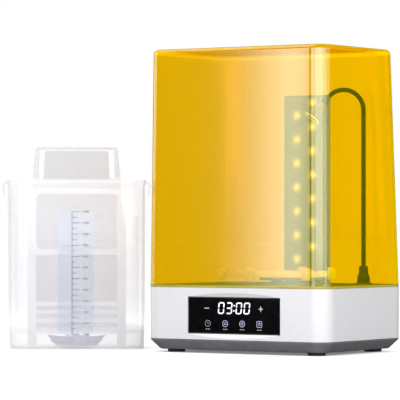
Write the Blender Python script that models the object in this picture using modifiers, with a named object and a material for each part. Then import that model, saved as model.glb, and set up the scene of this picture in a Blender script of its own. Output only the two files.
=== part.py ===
"""Resin wash and cure station, with its wash bucket standing beside it.

The machine is a low base with a touch panel, a turntable driven through the deck by magnets,
a lamp tower and a gooseneck lamp, all under a lift-off hood.  The bucket holds an impeller
and a basket that lifts out.  Lengths are in metres and +Z is up.
"""
import math

import bmesh
import bpy
from mathutils import Vector

# ---------------------------------------------------------------- driving dimensions
GAP = 0.0003                      # clearance between neighbouring pieces

# where the two stand: the origin is on the floor, under the middle of the whole set
MACHINE_AT = (0.18675, 0.03414)
BUCKET_AT = (-0.23625, -0.03986)
BUCKET_TURN = math.radians(35.9)

# base
BASE_WIDTH = 0.411
BASE_DEPTH = 0.304
BASE_CORNER = 0.034
WALL = 0.003
FOOT_HEIGHT = 0.0057
FOOT_RADIUS = 0.017
FOOT_INSET = 0.046
TRAY_BOTTOM = 0.006
TRAY_TOP = 0.0264
TRAY_INSET = 0.018
HOUSING_BOTTOM = TRAY_TOP + GAP
LEDGE_Z = 0.1275                  # where the hood rests
DECK_Z = 0.1315                   # raised deck inside the hood
DECK_UNDER = LEDGE_Z - 0.004
DECK_INSET = 0.0045

# touch panel
PANEL_X = 0.002
PANEL_Z = 0.0738
PANEL_WIDTH = 0.209
PANEL_HEIGHT = 0.0704
PANEL_DEEP = 0.0025
PANEL_FRONT = -BASE_DEPTH / 2 + 0.0012
SCOOP_HALF_HEIGHT = 0.0437
SCOOP_HALF_WIDTH = 0.178
SCOOP_DEPTH = 0.003

# rear fittings
REAR = BASE_DEPTH / 2
REAR_ROW_Z = 0.060
JACK_X = -0.105
JACK_RADIUS = 0.0085
SWITCH_X = -0.150
SWITCH_WIDTH = 0.026
SWITCH_HEIGHT = 0.020
SWITCH_DEEP = 0.018
ROCKER_REST = math.radians(-8.0)
FAN_X = 0.090
FAN_Z = 0.072
FAN_SIZE = 0.060
FAN_DEEP = 0.0146
FAN_SLOTS = 7
FAN_SLOT_PITCH = 0.0075
FAN_SLOT_HEIGHT = 0.0035
FAN_BLADES = 7
SENSOR_X = -0.120                 # senses the magnet in the hood

# hood
HOOD_BOTTOM = LEDGE_Z + GAP
HOOD_TOP = 0.588
HOOD_EDGE = 0.009                 # radius of the edge round the top
HOOD_IN_SIDE = 0.004
HOOD_IN_FRONT = 0.0045
HOOD_IN_BACK = 0.012
HOOD_REAR_CORNER = 0.052          # the rear corners grow to this radius at the top

# turntable and its drive
DRIVE_X = 0.006
DRIVE_Y = -0.002
PLATE_RADIUS = 0.0965
RIM_RADIUS = 0.105
PLATE_Z = 0.1481
PLATE_THICK = 0.004
PIN_RADIUS = 0.004
MAGNET_RADIUS = 0.006
MAGNET_THICK = 0.0028
MAGNET_ORBIT = 0.022
PAD_COUNT = 6
PAD_SIZE = (0.0150, 0.0150, 0.0240)
PAD_ORBIT = 0.1065
PAD_Z = 0.1522
PAD_FIRST = 33.4                  # degrees round from +X

# lamp tower
TOWER_X = -0.002
TOWER_FRONT = 0.115
TOWER_WIDTH = 0.095
TOWER_DEPTH = 0.022
TOWER_TOP = 0.504
LED_PITCH = 0.0475
LED_COUNT = 7
LED_COLUMN = 0.018                # half the distance between the two columns
LED_FIRST_LEFT = 0.1796
LED_FIRST_RIGHT = 0.2043
BOARD_LOW = 0.150
BOARD_TOP = 0.498

# gooseneck lamp
LAMP_AT = (0.128, 0.124)
LAMP_TURN = math.radians(226.0)   # the way the neck bends over
NECK_RADIUS = 0.0045
NECK_BEND = 0.040
NECK_STRAIGHT_TOP = 0.472
BEND_Z = 0.464
BALL_OFFSET = NECK_RADIUS + GAP / 2
NECK_END = math.radians(39.0)     # how far round the bend the neck ends
BOOT_TOP = 0.1665

# bucket
TUB_HEIGHT = 0.336
TUB_WALL = 0.0026
TUB_FLOOR_TOP = TUB_WALL
IMPELLER_RADIUS = 0.063
IMPELLER_TOP = 0.026
IMPELLER_BLADES = 8
BLADE_THICK = 0.0024
LIP_LENGTH = 0.070

# basket
CAGE_WIDTH = 0.247
CAGE_DEPTH = 0.150
CAGE_WALL = 0.002
CAGE_BOTTOM = 0.031
CAGE_TOP = 0.266
CAGE_CORNER = 0.020
FRAME_THICK = 0.0035
FRAME_Y = CAGE_DEPTH / 2 + GAP + FRAME_THICK / 2
GRIP_TOP = 0.401                  # of the front frame
PANEL_TOP = 0.397                 # of the rear panel
WINDOW_HALF = 0.081
DRAIN_COLUMNS = 7
DRAIN_PITCH = 0.0315
SLOT_HEIGHTS = ((0.0430, 0.0527), (0.0606, 0.0705), (0.0775, 0.0860))


# ---------------------------------------------------------------- scene helpers
def clear_scene():
    for item in list(bpy.data.objects):
        bpy.data.objects.remove(item, do_unlink=True)


def new_collection(name):
    collection = bpy.data.collections.new(name)
    bpy.context.scene.collection.children.link(collection)
    return collection


clear_scene()
PARTS = new_collection("resin_wash_station")
CUTTERS = new_collection("cutters")


def empty(name, location, turn_z=0.0, parent=None):
    """A pivot or a group's own frame."""
    pivot = bpy.data.objects.new(name, None)
    pivot.location = location
    pivot.rotation_euler = (0.0, 0.0, turn_z)
    pivot.parent = parent
    PARTS.objects.link(pivot)
    return pivot


def principled(name, colour, roughness, metallic=0.0, alpha=1.0):
    paint = bpy.data.materials.new(name)
    paint.use_nodes = True
    shader = paint.node_tree.nodes["Principled BSDF"]
    shader.inputs["Base Color"].default_value = (*colour, 1.0)
    shader.inputs["Roughness"].default_value = roughness
    shader.inputs["Metallic"].default_value = metallic
    shader.inputs["Alpha"].default_value = alpha
    return paint


WHITE = principled("white_shell", (0.83, 0.83, 0.86), 0.35)
DARK_GREY = principled("dark_skirt", (0.12, 0.12, 0.13), 0.5)
BLACK_RUBBER = principled("black_rubber", (0.02, 0.02, 0.02), 0.8)
BLACK_GLASS = principled("black_glass", (0.005, 0.005, 0.006), 0.08)
AMBER = principled("amber_acrylic", (0.95, 0.62, 0.02), 0.1, alpha=0.5)
GREY_PLASTIC = principled("grey_plastic", (0.35, 0.37, 0.36), 0.45)
BLACK_PLASTIC = principled("black_plastic", (0.03, 0.03, 0.03), 0.45)
CLEAR = principled("clear_plastic", (0.85, 0.87, 0.85), 0.12, alpha=0.4)
FROSTED = principled("frosted_plastic", (0.88, 0.89, 0.92), 0.4, alpha=0.5)
NAVY = principled("navy_plastic", (0.02, 0.03, 0.08), 0.35)
STEEL = principled("steel", (0.62, 0.62, 0.63), 0.3, metallic=1.0)
NICKEL = principled("magnet_nickel", (0.72, 0.72, 0.70), 0.25, metallic=1.0)
ZINC = principled("zinc_screw", (0.55, 0.55, 0.56), 0.35, metallic=1.0)
BOARD = principled("circuit_board", (0.03, 0.16, 0.07), 0.5)
LED_WHITE = principled("led_yellow", (0.95, 0.92, 0.55), 0.3)


def finish_mesh(item, paint, smooth_angle=35.0):
    """Give an object its material, and shade its round faces smooth."""
    item.data.materials.append(paint)
    item.data.shade_smooth()
    item.data.set_sharp_from_angle(angle=math.radians(smooth_angle))


def place(item, location, parent, rotation=(0.0, 0.0, 0.0), cutter=False):
    item.location = location
    item.rotation_euler = rotation
    item.parent = parent
    if cutter:
        CUTTERS.objects.link(item)
        item.hide_render = True
        item.display_type = "WIRE"
    else:
        PARTS.objects.link(item)
    return item


def from_bmesh(name, shape, paint, location, parent, rotation=(0.0, 0.0, 0.0), cutter=False):
    mesh = bpy.data.meshes.new(name)
    bmesh.ops.recalc_face_normals(shape, faces=shape.faces)
    shape.to_mesh(mesh)
    shape.free()
    item = bpy.data.objects.new(name, mesh)
    finish_mesh(item, paint)
    return place(item, location, parent, rotation, cutter)


def boolean(target, tool, operation):
    change = target.modifiers.new(f"{operation.lower()}_{tool.name}", "BOOLEAN")
    change.operation = operation
    change.solver = "EXACT"
    change.object = tool
    return target


def cut(target, *tools):
    for tool in tools:
        boolean(target, tool, "DIFFERENCE")
    return target


def weld_on(target, *tools):
    for tool in tools:
        boolean(target, tool, "UNION")
    return target


# ---------------------------------------------------------------- shape helpers
def box(name, size, location, parent, paint=GREY_PLASTIC, corner=0.0, edge=0.0,
        rotation=(0.0, 0.0, 0.0), cutter=False):
    """A box, with its upright edges rounded by corner and then all others by edge."""
    shape = bmesh.new()
    bmesh.ops.create_cube(shape, size=1.0)
    bmesh.ops.scale(shape, vec=size, verts=shape.verts)
    if corner:
        upright = [e for e in shape.edges if abs(e.verts[0].co.z - e.verts[1].co.z) > size[2] / 2]
        bmesh.ops.bevel(shape, geom=upright, offset=corner, segments=3,
                        profile=0.5, affect="EDGES")
    if edge:
        level = [e for e in shape.edges if abs(e.verts[0].co.z - e.verts[1].co.z) < 1e-7
                 and len(e.link_faces) == 2
                 and e.calc_face_angle(0.0) > math.radians(60)]
        bmesh.ops.bevel(shape, geom=level, offset=edge, segments=2, profile=0.5, affect="EDGES")
    return from_bmesh(name, shape, paint, location, parent, rotation, cutter)


def cylinder(name, radius, height, location, parent, paint=GREY_PLASTIC, sides=24,
             rotation=(0.0, 0.0, 0.0), cutter=False):
    shape = bmesh.new()
    bmesh.ops.create_cone(shape, cap_ends=True, segments=sides, radius1=radius, radius2=radius,
                          depth=height)
    return from_bmesh(name, shape, paint, location, parent, rotation, cutter)


def turned(name, profile, location, parent, paint, steps=24, rotation=(0.0, 0.0, 0.0),
           closed=False):
    """A turned shape: (radius, height) points, down its outer side, spun about local Z."""
    mesh = bpy.data.meshes.new(name)
    points = [(radius, 0.0, height) for radius, height in profile]
    edges = [(i, i + 1) for i in range(len(points) - 1)]
    if closed:
        edges.append((len(points) - 1, 0))
    mesh.from_pydata(points, edges, [])
    item = bpy.data.objects.new(name, mesh)
    item.data.materials.append(paint)
    spin = item.modifiers.new("turn", "SCREW")
    spin.steps = steps
    spin.render_steps = steps
    spin.use_merge_vertices = True
    spin.merge_threshold = 0.00001
    spin.use_smooth_shade = True
    return place(item, location, parent, rotation)


def rounded_outline(width, depth, front_corner, rear_corner, middle_y, segments):
    """Points round a rectangle with round corners, anticlockwise from the right front corner."""
    corners = (
        (width / 2, -depth / 2, front_corner, -90.0, -1, 1),
        (width / 2, depth / 2, rear_corner, 0.0, -1, -1),
        (-width / 2, depth / 2, rear_corner, 90.0, 1, -1),
        (-width / 2, -depth / 2, front_corner, 180.0, 1, 1),
    )
    points = []
    for x, y, radius, start, side_x, side_y in corners:
        for step in range(segments + 1):
            angle = math.radians(start + 90.0 * step / segments)
            points.append((x + side_x * radius + radius * math.cos(angle),
                           y + side_y * radius + radius * math.sin(angle) + middle_y))
    return points


def loft(name, sections, parent, paint, segments=5, bottom=True, top=True, cutter=False):
    """A skin through level round-cornered sections, given from the bottom up.

    A section is (z, width, depth, front corner, rear corner, middle y)."""
    shape = bmesh.new()
    rings = []
    for z, width, depth, front_corner, rear_corner, middle_y in sections:
        outline = rounded_outline(width, depth, front_corner, rear_corner, middle_y, segments)
        rings.append([shape.verts.new((x, y, z)) for x, y in outline])
    for low, high in zip(rings, rings[1:]):
        for i in range(len(low)):
            j = (i + 1) % len(low)
            shape.faces.new((low[i], low[j], high[j], high[i]))
    if bottom:
        shape.faces.new(list(reversed(rings[0])))
    if top:
        shape.faces.new(rings[-1])
    mesh = bpy.data.meshes.new(name)
    shape.to_mesh(mesh)
    shape.free()
    item = bpy.data.objects.new(name, mesh)
    finish_mesh(item, paint)
    return place(item, (0.0, 0.0, 0.0), parent, cutter=cutter)


def thicken(item, thickness):
    """Turn an outward-facing skin into a shell whose wall grows inwards."""
    wall = item.modifiers.new("wall", "SOLIDIFY")
    wall.thickness = thickness
    wall.offset = -1.0
    wall.use_even_offset = True
    wall.use_quality_normals = True
    return item


def even_section(z, inset, corner):
    """A level section of the base, drawn in from its full outline by inset."""
    return (z, BASE_WIDTH - 2 * inset, BASE_DEPTH - 2 * inset, corner, corner, 0.0)


def curve_to_mesh(item, parent, paint, merge=0.00002, cutter=False):
    """Turn a curve object into a closed mesh object in the same place."""
    bpy.context.view_layer.update()
    ready = item.evaluated_get(bpy.context.evaluated_depsgraph_get())
    mesh = bpy.data.meshes.new_from_object(ready)
    shape = bmesh.new()
    shape.from_mesh(mesh)
    bmesh.ops.remove_doubles(shape, verts=shape.verts, dist=merge)
    bmesh.ops.recalc_face_normals(shape, faces=shape.faces)
    shape.to_mesh(mesh)
    shape.free()
    name = item.name
    location = item.location.copy()
    rotation = item.rotation_euler.copy()
    bpy.data.objects.remove(item, do_unlink=True)
    solid = bpy.data.objects.new(name, mesh)
    finish_mesh(solid, paint)
    return place(solid, location, parent, rotation, cutter)


def outline_solid(name, outlines, thickness, location, rotation, parent, paint, cutter=False):
    """A flat plate: the first outline is its edge and the rest are holes through it."""
    curve = bpy.data.curves.new(name, "CURVE")
    curve.dimensions = "2D"
    curve.fill_mode = "BOTH"
    curve.extrude = thickness / 2
    for outline in outlines:
        spline = curve.splines.new("POLY")
        spline.points.add(len(outline) - 1)
        for point, (x, y) in zip(spline.points, outline):
            point.co = (x, y, 0.0, 1.0)
        spline.use_cyclic_u = True
    item = bpy.data.objects.new(name, curve)
    place(item, location, parent, rotation)
    return curve_to_mesh(item, parent, paint, cutter=cutter)


def neck_tube(name, path, parent, paint):
    """A round neck along (point, radius) pairs, the ends drawn in to domes by the radii."""
    curve = bpy.data.curves.new(name, "CURVE")
    curve.dimensions = "3D"
    curve.bevel_depth = NECK_RADIUS
    curve.bevel_resolution = 3
    curve.use_fill_caps = True
    spline = curve.splines.new("POLY")
    spline.points.add(len(path) - 1)
    for point, (place_at, radius) in zip(spline.points, path):
        point.co = (*place_at, 1.0)
        point.radius = radius
    item = bpy.data.objects.new(name, curve)
    place(item, (0.0, 0.0, 0.0), parent)
    return curve_to_mesh(item, parent, paint, merge=0.00001)


def dome(centre, direction, steps=4, blunt=0.25):
    """(point, radius) pairs of a half ball that ends a neck, from its foot to its blunt tip."""
    pairs = []
    for step in range(steps + 1):
        angle = math.acos(blunt) * step / steps
        point = Vector(centre) + Vector(direction) * NECK_RADIUS * math.sin(angle)
        pairs.append((point, math.cos(angle)))
    return pairs


def round_slot(half_width, low, high, corner, segments=3):
    """A round-cornered hole's outline in a plate's own plane."""
    return rounded_outline(2 * half_width, high - low, corner, corner, (high + low) / 2, segments)


# ---------------------------------------------------------------- group frames
machine = empty("machine_frame", (*MACHINE_AT, 0.0))
bucket = empty("bucket_frame", (*BUCKET_AT, 0.0), BUCKET_TURN)
drive_axis = empty("drive_axis", (DRIVE_X, DRIVE_Y, 0.0), parent=machine)
lamp_axis = empty("lamp_axis", (*LAMP_AT, 0.0), LAMP_TURN, parent=machine)


# ---------------------------------------------------------------- base
def build_tray():
    tray = loft("bottom_tray",
                [even_section(TRAY_BOTTOM, TRAY_INSET, BASE_CORNER - 0.010),
                 even_section(TRAY_TOP, 0.0, BASE_CORNER)], machine, DARK_GREY)
    side_wall = 1.4 * WALL
    slope = TRAY_INSET / (TRAY_TOP - TRAY_BOTTOM)
    hollow = loft("tray_hollow",
                  [even_section(TRAY_BOTTOM + WALL, TRAY_INSET - WALL * slope + side_wall, 0.020),
                   even_section(TRAY_TOP + WALL, side_wall - WALL * slope, BASE_CORNER - WALL)],
                  machine, DARK_GREY, cutter=True)
    cut(tray, hollow)


def build_feet():
    profile = [(0.0, FOOT_HEIGHT), (FOOT_RADIUS, FOOT_HEIGHT), (FOOT_RADIUS, 0.0012),
               (FOOT_RADIUS - 0.0012, 0.0), (0.0, 0.0)]
    x = BASE_WIDTH / 2 - FOOT_INSET
    y = BASE_DEPTH / 2 - FOOT_INSET
    spots = {"foot_front_left": (-x, -y), "foot_front_right": (x, -y),
             "foot_rear_left": (-x, y), "foot_rear_right": (x, y)}
    for name, (foot_x, foot_y) in spots.items():
        turned(name, profile, (foot_x, foot_y, 0.0), machine, BLACK_RUBBER)


def scoop_cutter():
    """A shallow lens-shaped scoop that opens above and below the panel."""
    lens = bmesh.new()
    bmesh.ops.create_uvsphere(lens, u_segments=32, v_segments=16, radius=1.0)
    belly = 0.030
    share = math.sqrt(1.0 - ((belly - SCOOP_DEPTH) / belly) ** 2)
    bmesh.ops.scale(lens, vec=(SCOOP_HALF_WIDTH / share, belly, SCOOP_HALF_HEIGHT / share),
                    verts=lens.verts)
    spot = (PANEL_X, -BASE_DEPTH / 2 - belly + SCOOP_DEPTH, PANEL_Z)
    cutter = from_bmesh("panel_scoop", lens, WHITE, spot, machine, cutter=True)
    limit = box("panel_scoop_limit", (PANEL_WIDTH, 0.060, 0.120),
                (PANEL_X, -BASE_DEPTH / 2, PANEL_Z), machine, cutter=True)
    return boolean(cutter, limit, "INTERSECT")


def build_housing():
    sections = [even_section(HOUSING_BOTTOM, 0.0, BASE_CORNER),
                even_section(LEDGE_Z - 0.0015, 0.0, BASE_CORNER),
                even_section(LEDGE_Z, 0.0015, BASE_CORNER - 0.0015)]
    housing = loft("base_housing", sections, machine, WHITE)
    hollow = loft("housing_hollow",
                  [even_section(HOUSING_BOTTOM - 0.01, WALL, BASE_CORNER - WALL),
                   even_section(DECK_UNDER, WALL, BASE_CORNER - WALL)],
                  machine, WHITE, cutter=True)
    cut(housing, hollow)
    plinth = loft("deck_plinth",
                  [even_section(LEDGE_Z - 0.002, DECK_INSET, BASE_CORNER - DECK_INSET),
                   even_section(DECK_Z - 0.001, DECK_INSET, BASE_CORNER - DECK_INSET),
                   even_section(DECK_Z, DECK_INSET + 0.001, BASE_CORNER - DECK_INSET - 0.001)],
                  machine, WHITE, cutter=True)
    weld_on(housing, plinth)
    cut(housing, scoop_cutter())
    pocket = box("panel_pocket", (PANEL_WIDTH + 2 * GAP, 0.020, PANEL_HEIGHT + 2 * GAP),
                 (PANEL_X, -BASE_DEPTH / 2, PANEL_Z), machine, cutter=True)
    cable_hole = cylinder("tower_cable_hole", 0.005, 0.020,
                          (TOWER_X, TOWER_FRONT + TOWER_DEPTH / 2, DECK_Z), machine, sides=16,
                          cutter=True)
    jack_hole = cylinder("jack_hole", JACK_RADIUS + GAP, 0.012, (JACK_X, REAR, REAR_ROW_Z), machine,
                         rotation=(math.pi / 2, 0.0, 0.0), cutter=True)
    switch_hole = box("switch_hole", (SWITCH_WIDTH + 2 * GAP, 0.012, SWITCH_HEIGHT + 2 * GAP),
                      (SWITCH_X, REAR, REAR_ROW_Z), machine, cutter=True)
    cut(housing, pocket, cable_hole, jack_hole, switch_hole)
    grille_radius = 0.027
    for row in range(FAN_SLOTS):
        height = (row - (FAN_SLOTS - 1) / 2) * FAN_SLOT_PITCH
        half = math.sqrt(grille_radius ** 2 - height ** 2)
        slot = box(f"fan_slot_{row}", (2 * half, 0.012, FAN_SLOT_HEIGHT),
                   (FAN_X, REAR, FAN_Z + height), machine, cutter=True)
        cut(housing, slot)


def build_panel():
    box("control_panel", (PANEL_WIDTH, PANEL_HEIGHT, PANEL_DEEP),
        (PANEL_X, PANEL_FRONT + PANEL_DEEP / 2, PANEL_Z), machine, BLACK_GLASS,
        corner=0.0025, rotation=(math.pi / 2, 0.0, 0.0))
    board_y = PANEL_FRONT + PANEL_DEEP + 0.0040
    board = box("display_board", (0.180, 0.0016, 0.056), (PANEL_X, board_y, PANEL_Z), machine, BOARD)
    digits = box("digit_module", (0.058, 0.0034, 0.020), (PANEL_X, board_y - 0.0020, PANEL_Z + 0.012),
                 machine, cutter=True)
    chip = box("touch_chip", (0.012, 0.0030, 0.012), (PANEL_X + 0.045, board_y + 0.0018, PANEL_Z),
               machine, cutter=True)
    weld_on(board, digits, chip)


def build_rear_fittings():
    facing_rear = (-math.pi / 2, 0.0, 0.0)
    jack = [(0.0, 0.004), (0.0030, 0.004), (0.0030, 0.014), (JACK_RADIUS, 0.014),
            (JACK_RADIUS, 0.0), (0.0, 0.0)]
    turned("dc_inlet", jack, (JACK_X, REAR - 0.0145, REAR_ROW_Z), machine, BLACK_PLASTIC,
           rotation=facing_rear)
    frame = box("switch_frame", (SWITCH_WIDTH, SWITCH_DEEP, SWITCH_HEIGHT),
                (SWITCH_X, REAR - GAP - SWITCH_DEEP / 2, REAR_ROW_Z), machine, BLACK_PLASTIC)
    well = box("switch_well", (0.0200, 0.014, 0.0150), (SWITCH_X, REAR - 0.0043, REAR_ROW_Z),
               machine, cutter=True)
    cut(frame, well)
    rocker = box("power_rocker", (0.0180, 0.0045, 0.0126), (0.0, 0.0, 0.0), None, BLACK_PLASTIC)
    rocker.parent = empty("rocker_axis", (SWITCH_X, REAR - 0.0055, REAR_ROW_Z), parent=machine)
    rocker.rotation_euler = (ROCKER_REST, 0.0, 0.0)


def fan_blade(name, angle, hub, tip, parent):
    reach = (hub + tip) / 2
    return box(name, (tip - hub + 0.003, 0.007, 0.0012),
               (reach * math.cos(angle), reach * math.sin(angle), 0.0), parent,
               rotation=(math.radians(38.0), 0.0, angle), cutter=True)


def build_fan():
    middle_y = REAR - WALL - GAP - 0.0075
    fan_axis = empty("fan_axis", (FAN_X, middle_y, FAN_Z), parent=machine)
    fan_axis.rotation_euler = (-math.pi / 2, 0.0, 0.0)
    frame = box("fan_frame", (FAN_SIZE, FAN_SIZE, FAN_DEEP), (0.0, 0.0, 0.0), fan_axis,
                BLACK_PLASTIC, corner=0.004)
    tunnel = cylinder("fan_tunnel", 0.0280, 0.0106, (0.0, 0.0, 0.0022), fan_axis, sides=28,
                      cutter=True)
    cut(frame, tunnel)
    vent_orbit = 0.0190
    for vent in range(3):
        angle = math.tau * vent / 3
        slot = box(f"fan_vent_{vent}", (0.0120, 0.0260, 0.0100),
                   (vent_orbit * math.cos(angle), vent_orbit * math.sin(angle), -0.0060), fan_axis,
                   rotation=(0.0, 0.0, angle), cutter=True)
        cut(frame, slot)
    hub_radius = 0.0110
    tip_radius = 0.0255
    rotor = cylinder("fan_rotor", hub_radius, 0.0070, (0.0, 0.0, 0.0022), fan_axis, BLACK_PLASTIC)
    for blade in range(FAN_BLADES):
        angle = math.tau * blade / FAN_BLADES
        weld_on(rotor, fan_blade(f"blade_{blade}", angle, hub_radius, tip_radius, rotor))


def build_boards():
    board = box("main_board", (0.110, 0.070, 0.0016), (-0.110, 0.040, 0.0175), machine, BOARD)
    chips = [("driver_chip", (0.014, 0.014, 0.004), (-0.110, 0.040, 0.0200)),
             ("big_capacitor", (0.012, 0.012, 0.016), (-0.140, 0.055, 0.0260)),
             ("led_driver", (0.020, 0.012, 0.008), (-0.085, 0.060, 0.0220)),
             ("plug_strip", (0.040, 0.007, 0.009), (-0.110, 0.012, 0.0225))]
    for name, size, spot in chips:
        weld_on(board, box(name, size, spot, machine, cutter=True))
    for x in (-0.157, -0.063):
        for y in (0.012, 0.068):
            post = box(f"board_post_{x}_{y}", (0.006, 0.006, 0.0080), (x, y, 0.0133), machine,
                       cutter=True)
            weld_on(board, post)
    box("hood_sensor", (0.008, 0.010, 0.004), (SENSOR_X, REAR - 0.0115, DECK_UNDER - 0.0023), machine,
        BLACK_PLASTIC, edge=0.0005)


def build_screws():
    """Four screws standing on the tray's floor, inside the base."""
    profile = [(0.0, 0.0115), (0.0015, 0.0115), (0.0015, 0.0035), (0.0035, 0.0030),
               (0.0035, 0.0010), (0.0, 0.0)]
    x = BASE_WIDTH / 2 - 0.062
    y = BASE_DEPTH / 2 - 0.040
    spots = {"tray_screw_front_left": (-x, -y), "tray_screw_front_right": (x, -y),
             "tray_screw_rear_left": (-x, y), "tray_screw_rear_right": (x, y)}
    top = TRAY_BOTTOM + WALL + GAP
    for name, (screw_x, screw_y) in spots.items():
        turned(name, profile, (screw_x, screw_y, top), machine, ZINC, steps=12)


# ---------------------------------------------------------------- drive and turntable
def magnets(prefix, bottom):
    for name, side in (("left", -1), ("right", 1)):
        cylinder(f"{prefix}_magnet_{name}", MAGNET_RADIUS, MAGNET_THICK,
                 (side * MAGNET_ORBIT, 0.0, bottom + MAGNET_THICK / 2), drive_axis, NICKEL, sides=16)


def build_drive():
    motor = [(0.0, 0.0800), (PIN_RADIUS + GAP, 0.0800), (PIN_RADIUS + GAP, 0.0995),
             (0.012, 0.0995), (0.012, 0.0960), (0.025, 0.0960), (0.025, 0.0500), (0.0, 0.0500)]
    turned("motor_body", motor, (0.0, 0.0, 0.0), drive_axis, STEEL)
    bracket = box("motor_bracket", (0.080, 0.060, 0.003), (0.0, 0.0, 0.1013), drive_axis, ZINC)
    cut(bracket, cylinder("bracket_hole", 0.009, 0.010, (0.0, 0.0, 0.1013), drive_axis, sides=16,
                          cutter=True))
    leg_top = DECK_UNDER - GAP
    leg_low = 0.1005
    for x in (-0.039, 0.039):
        leg = box(f"bracket_leg_{x}", (0.003, 0.060, leg_top - leg_low),
                  (x, 0.0, (leg_top + leg_low) / 2), drive_axis, cutter=True)
        lug = box(f"bracket_lug_{x}", (0.012, 0.060, 0.003), (x * 1.15, 0.0, leg_top - 0.0015),
                  drive_axis, cutter=True)
        weld_on(bracket, leg, lug)
    cylinder("drive_shaft", PIN_RADIUS - 0.0001, 0.0316, (0.0, 0.0, 0.0964), drive_axis, STEEL,
             sides=16)
    carrier = [(0.0, 0.1175), (0.032, 0.1175), (0.032, 0.1125), (0.0, 0.1125)]
    turned("magnet_carrier", carrier, (0.0, 0.0, 0.0), drive_axis, BLACK_PLASTIC)
    magnets("drive", 0.1178)


def build_turntable():
    seat = [(0.0, 0.1468), (PIN_RADIUS, 0.1468), (PIN_RADIUS, 0.1358), (0.032, 0.1358),
            (0.045, 0.1345), (0.045, DECK_Z + GAP), (0.0, DECK_Z + GAP)]
    turned("drive_seat", seat, (0.0, 0.0, 0.0), drive_axis, GREY_PLASTIC, steps=32)
    bore = PIN_RADIUS + GAP
    hub = [(bore, 0.1478), (0.034, 0.1478), (0.034, 0.1395), (0.030, 0.1395), (0.030, 0.1420),
           (0.012, 0.1420), (0.012, 0.1362), (bore, 0.1362)]
    turned("turntable_hub", hub, (0.0, 0.0, 0.0), drive_axis, GREY_PLASTIC, closed=True)
    magnets("turntable", 0.1389)
    plate = [(0.0, PLATE_Z + PLATE_THICK), (PLATE_RADIUS, PLATE_Z + PLATE_THICK),
             (PLATE_RADIUS, PLATE_Z), (0.0, PLATE_Z)]
    turned("turntable_plate", plate, (0.0, 0.0, 0.0), drive_axis, CLEAR, steps=48)
    inner = PLATE_RADIUS + GAP
    band = [(inner, 0.1572), (RIM_RADIUS, 0.1572), (RIM_RADIUS, 0.1460), (inner, 0.1460)]
    rim = turned("turntable_rim", band, (0.0, 0.0, 0.0), drive_axis, CLEAR, steps=48, closed=True)
    for pad in range(PAD_COUNT):
        angle = math.radians(PAD_FIRST + 360.0 * pad / PAD_COUNT)
        block = box(f"pad_{pad}", PAD_SIZE,
                    (PAD_ORBIT * math.cos(angle), PAD_ORBIT * math.sin(angle), PAD_Z), drive_axis,
                    rotation=(0.0, 0.0, angle), cutter=True)
        weld_on(rim, block)


# ---------------------------------------------------------------- lamp tower
def build_led_board(name, x, first_z):
    board_y = TOWER_FRONT + 0.0055
    board = box(name, (0.022, 0.0016, BOARD_TOP - BOARD_LOW),
                (x, board_y, (BOARD_TOP + BOARD_LOW) / 2), machine, LED_WHITE)
    for led in range(LED_COUNT):
        lamp = box(f"{name}_led_{led}", (0.0070, 0.0020, 0.0070),
                   (x, board_y - 0.0014, first_z + led * LED_PITCH), machine, cutter=True)
        weld_on(board, lamp)


def build_tower():
    low = DECK_Z + GAP
    high = TOWER_TOP - 0.004 - GAP
    middle_y = TOWER_FRONT + TOWER_DEPTH / 2
    spot = (TOWER_X, middle_y, (low + high) / 2)
    housing = box("tower_housing", (TOWER_WIDTH, TOWER_DEPTH, high - low), spot, machine,
                  GREY_PLASTIC, corner=0.003)
    hollow = box("tower_hollow", (TOWER_WIDTH - 0.006, TOWER_DEPTH, high - low + 0.02),
                 (TOWER_X, middle_y - 0.0025, (low + high) / 2), machine, cutter=True)
    cut(housing, hollow)
    box("tower_cover", (TOWER_WIDTH - 0.0066, 0.0020, high - low),
        (TOWER_X, TOWER_FRONT + 0.0015, (low + high) / 2), machine, CLEAR)
    box("tower_cap", (TOWER_WIDTH, TOWER_DEPTH, 0.004), (TOWER_X, middle_y, TOWER_TOP - 0.002),
        machine, GREY_PLASTIC, corner=0.003)
    box("tower_foot", (0.070, 0.010, 0.004), (TOWER_X, middle_y + 0.0022, low + 0.002), machine,
        ZINC)
    build_led_board("led_board_left", TOWER_X - LED_COLUMN, LED_FIRST_LEFT)
    build_led_board("led_board_right", TOWER_X + LED_COLUMN, LED_FIRST_RIGHT)


# ---------------------------------------------------------------- gooseneck lamp
def neck_arc(steps=12):
    """Centre line of the bent neck, from its straight foot to where the head joins."""
    points = []
    for step in range(steps + 1):
        angle = math.pi - (math.pi - NECK_END) * step / steps
        points.append(Vector((NECK_BEND + NECK_BEND * math.cos(angle), 0.0,
                              NECK_STRAIGHT_TOP + NECK_BEND * math.sin(angle))))
    return points


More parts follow.
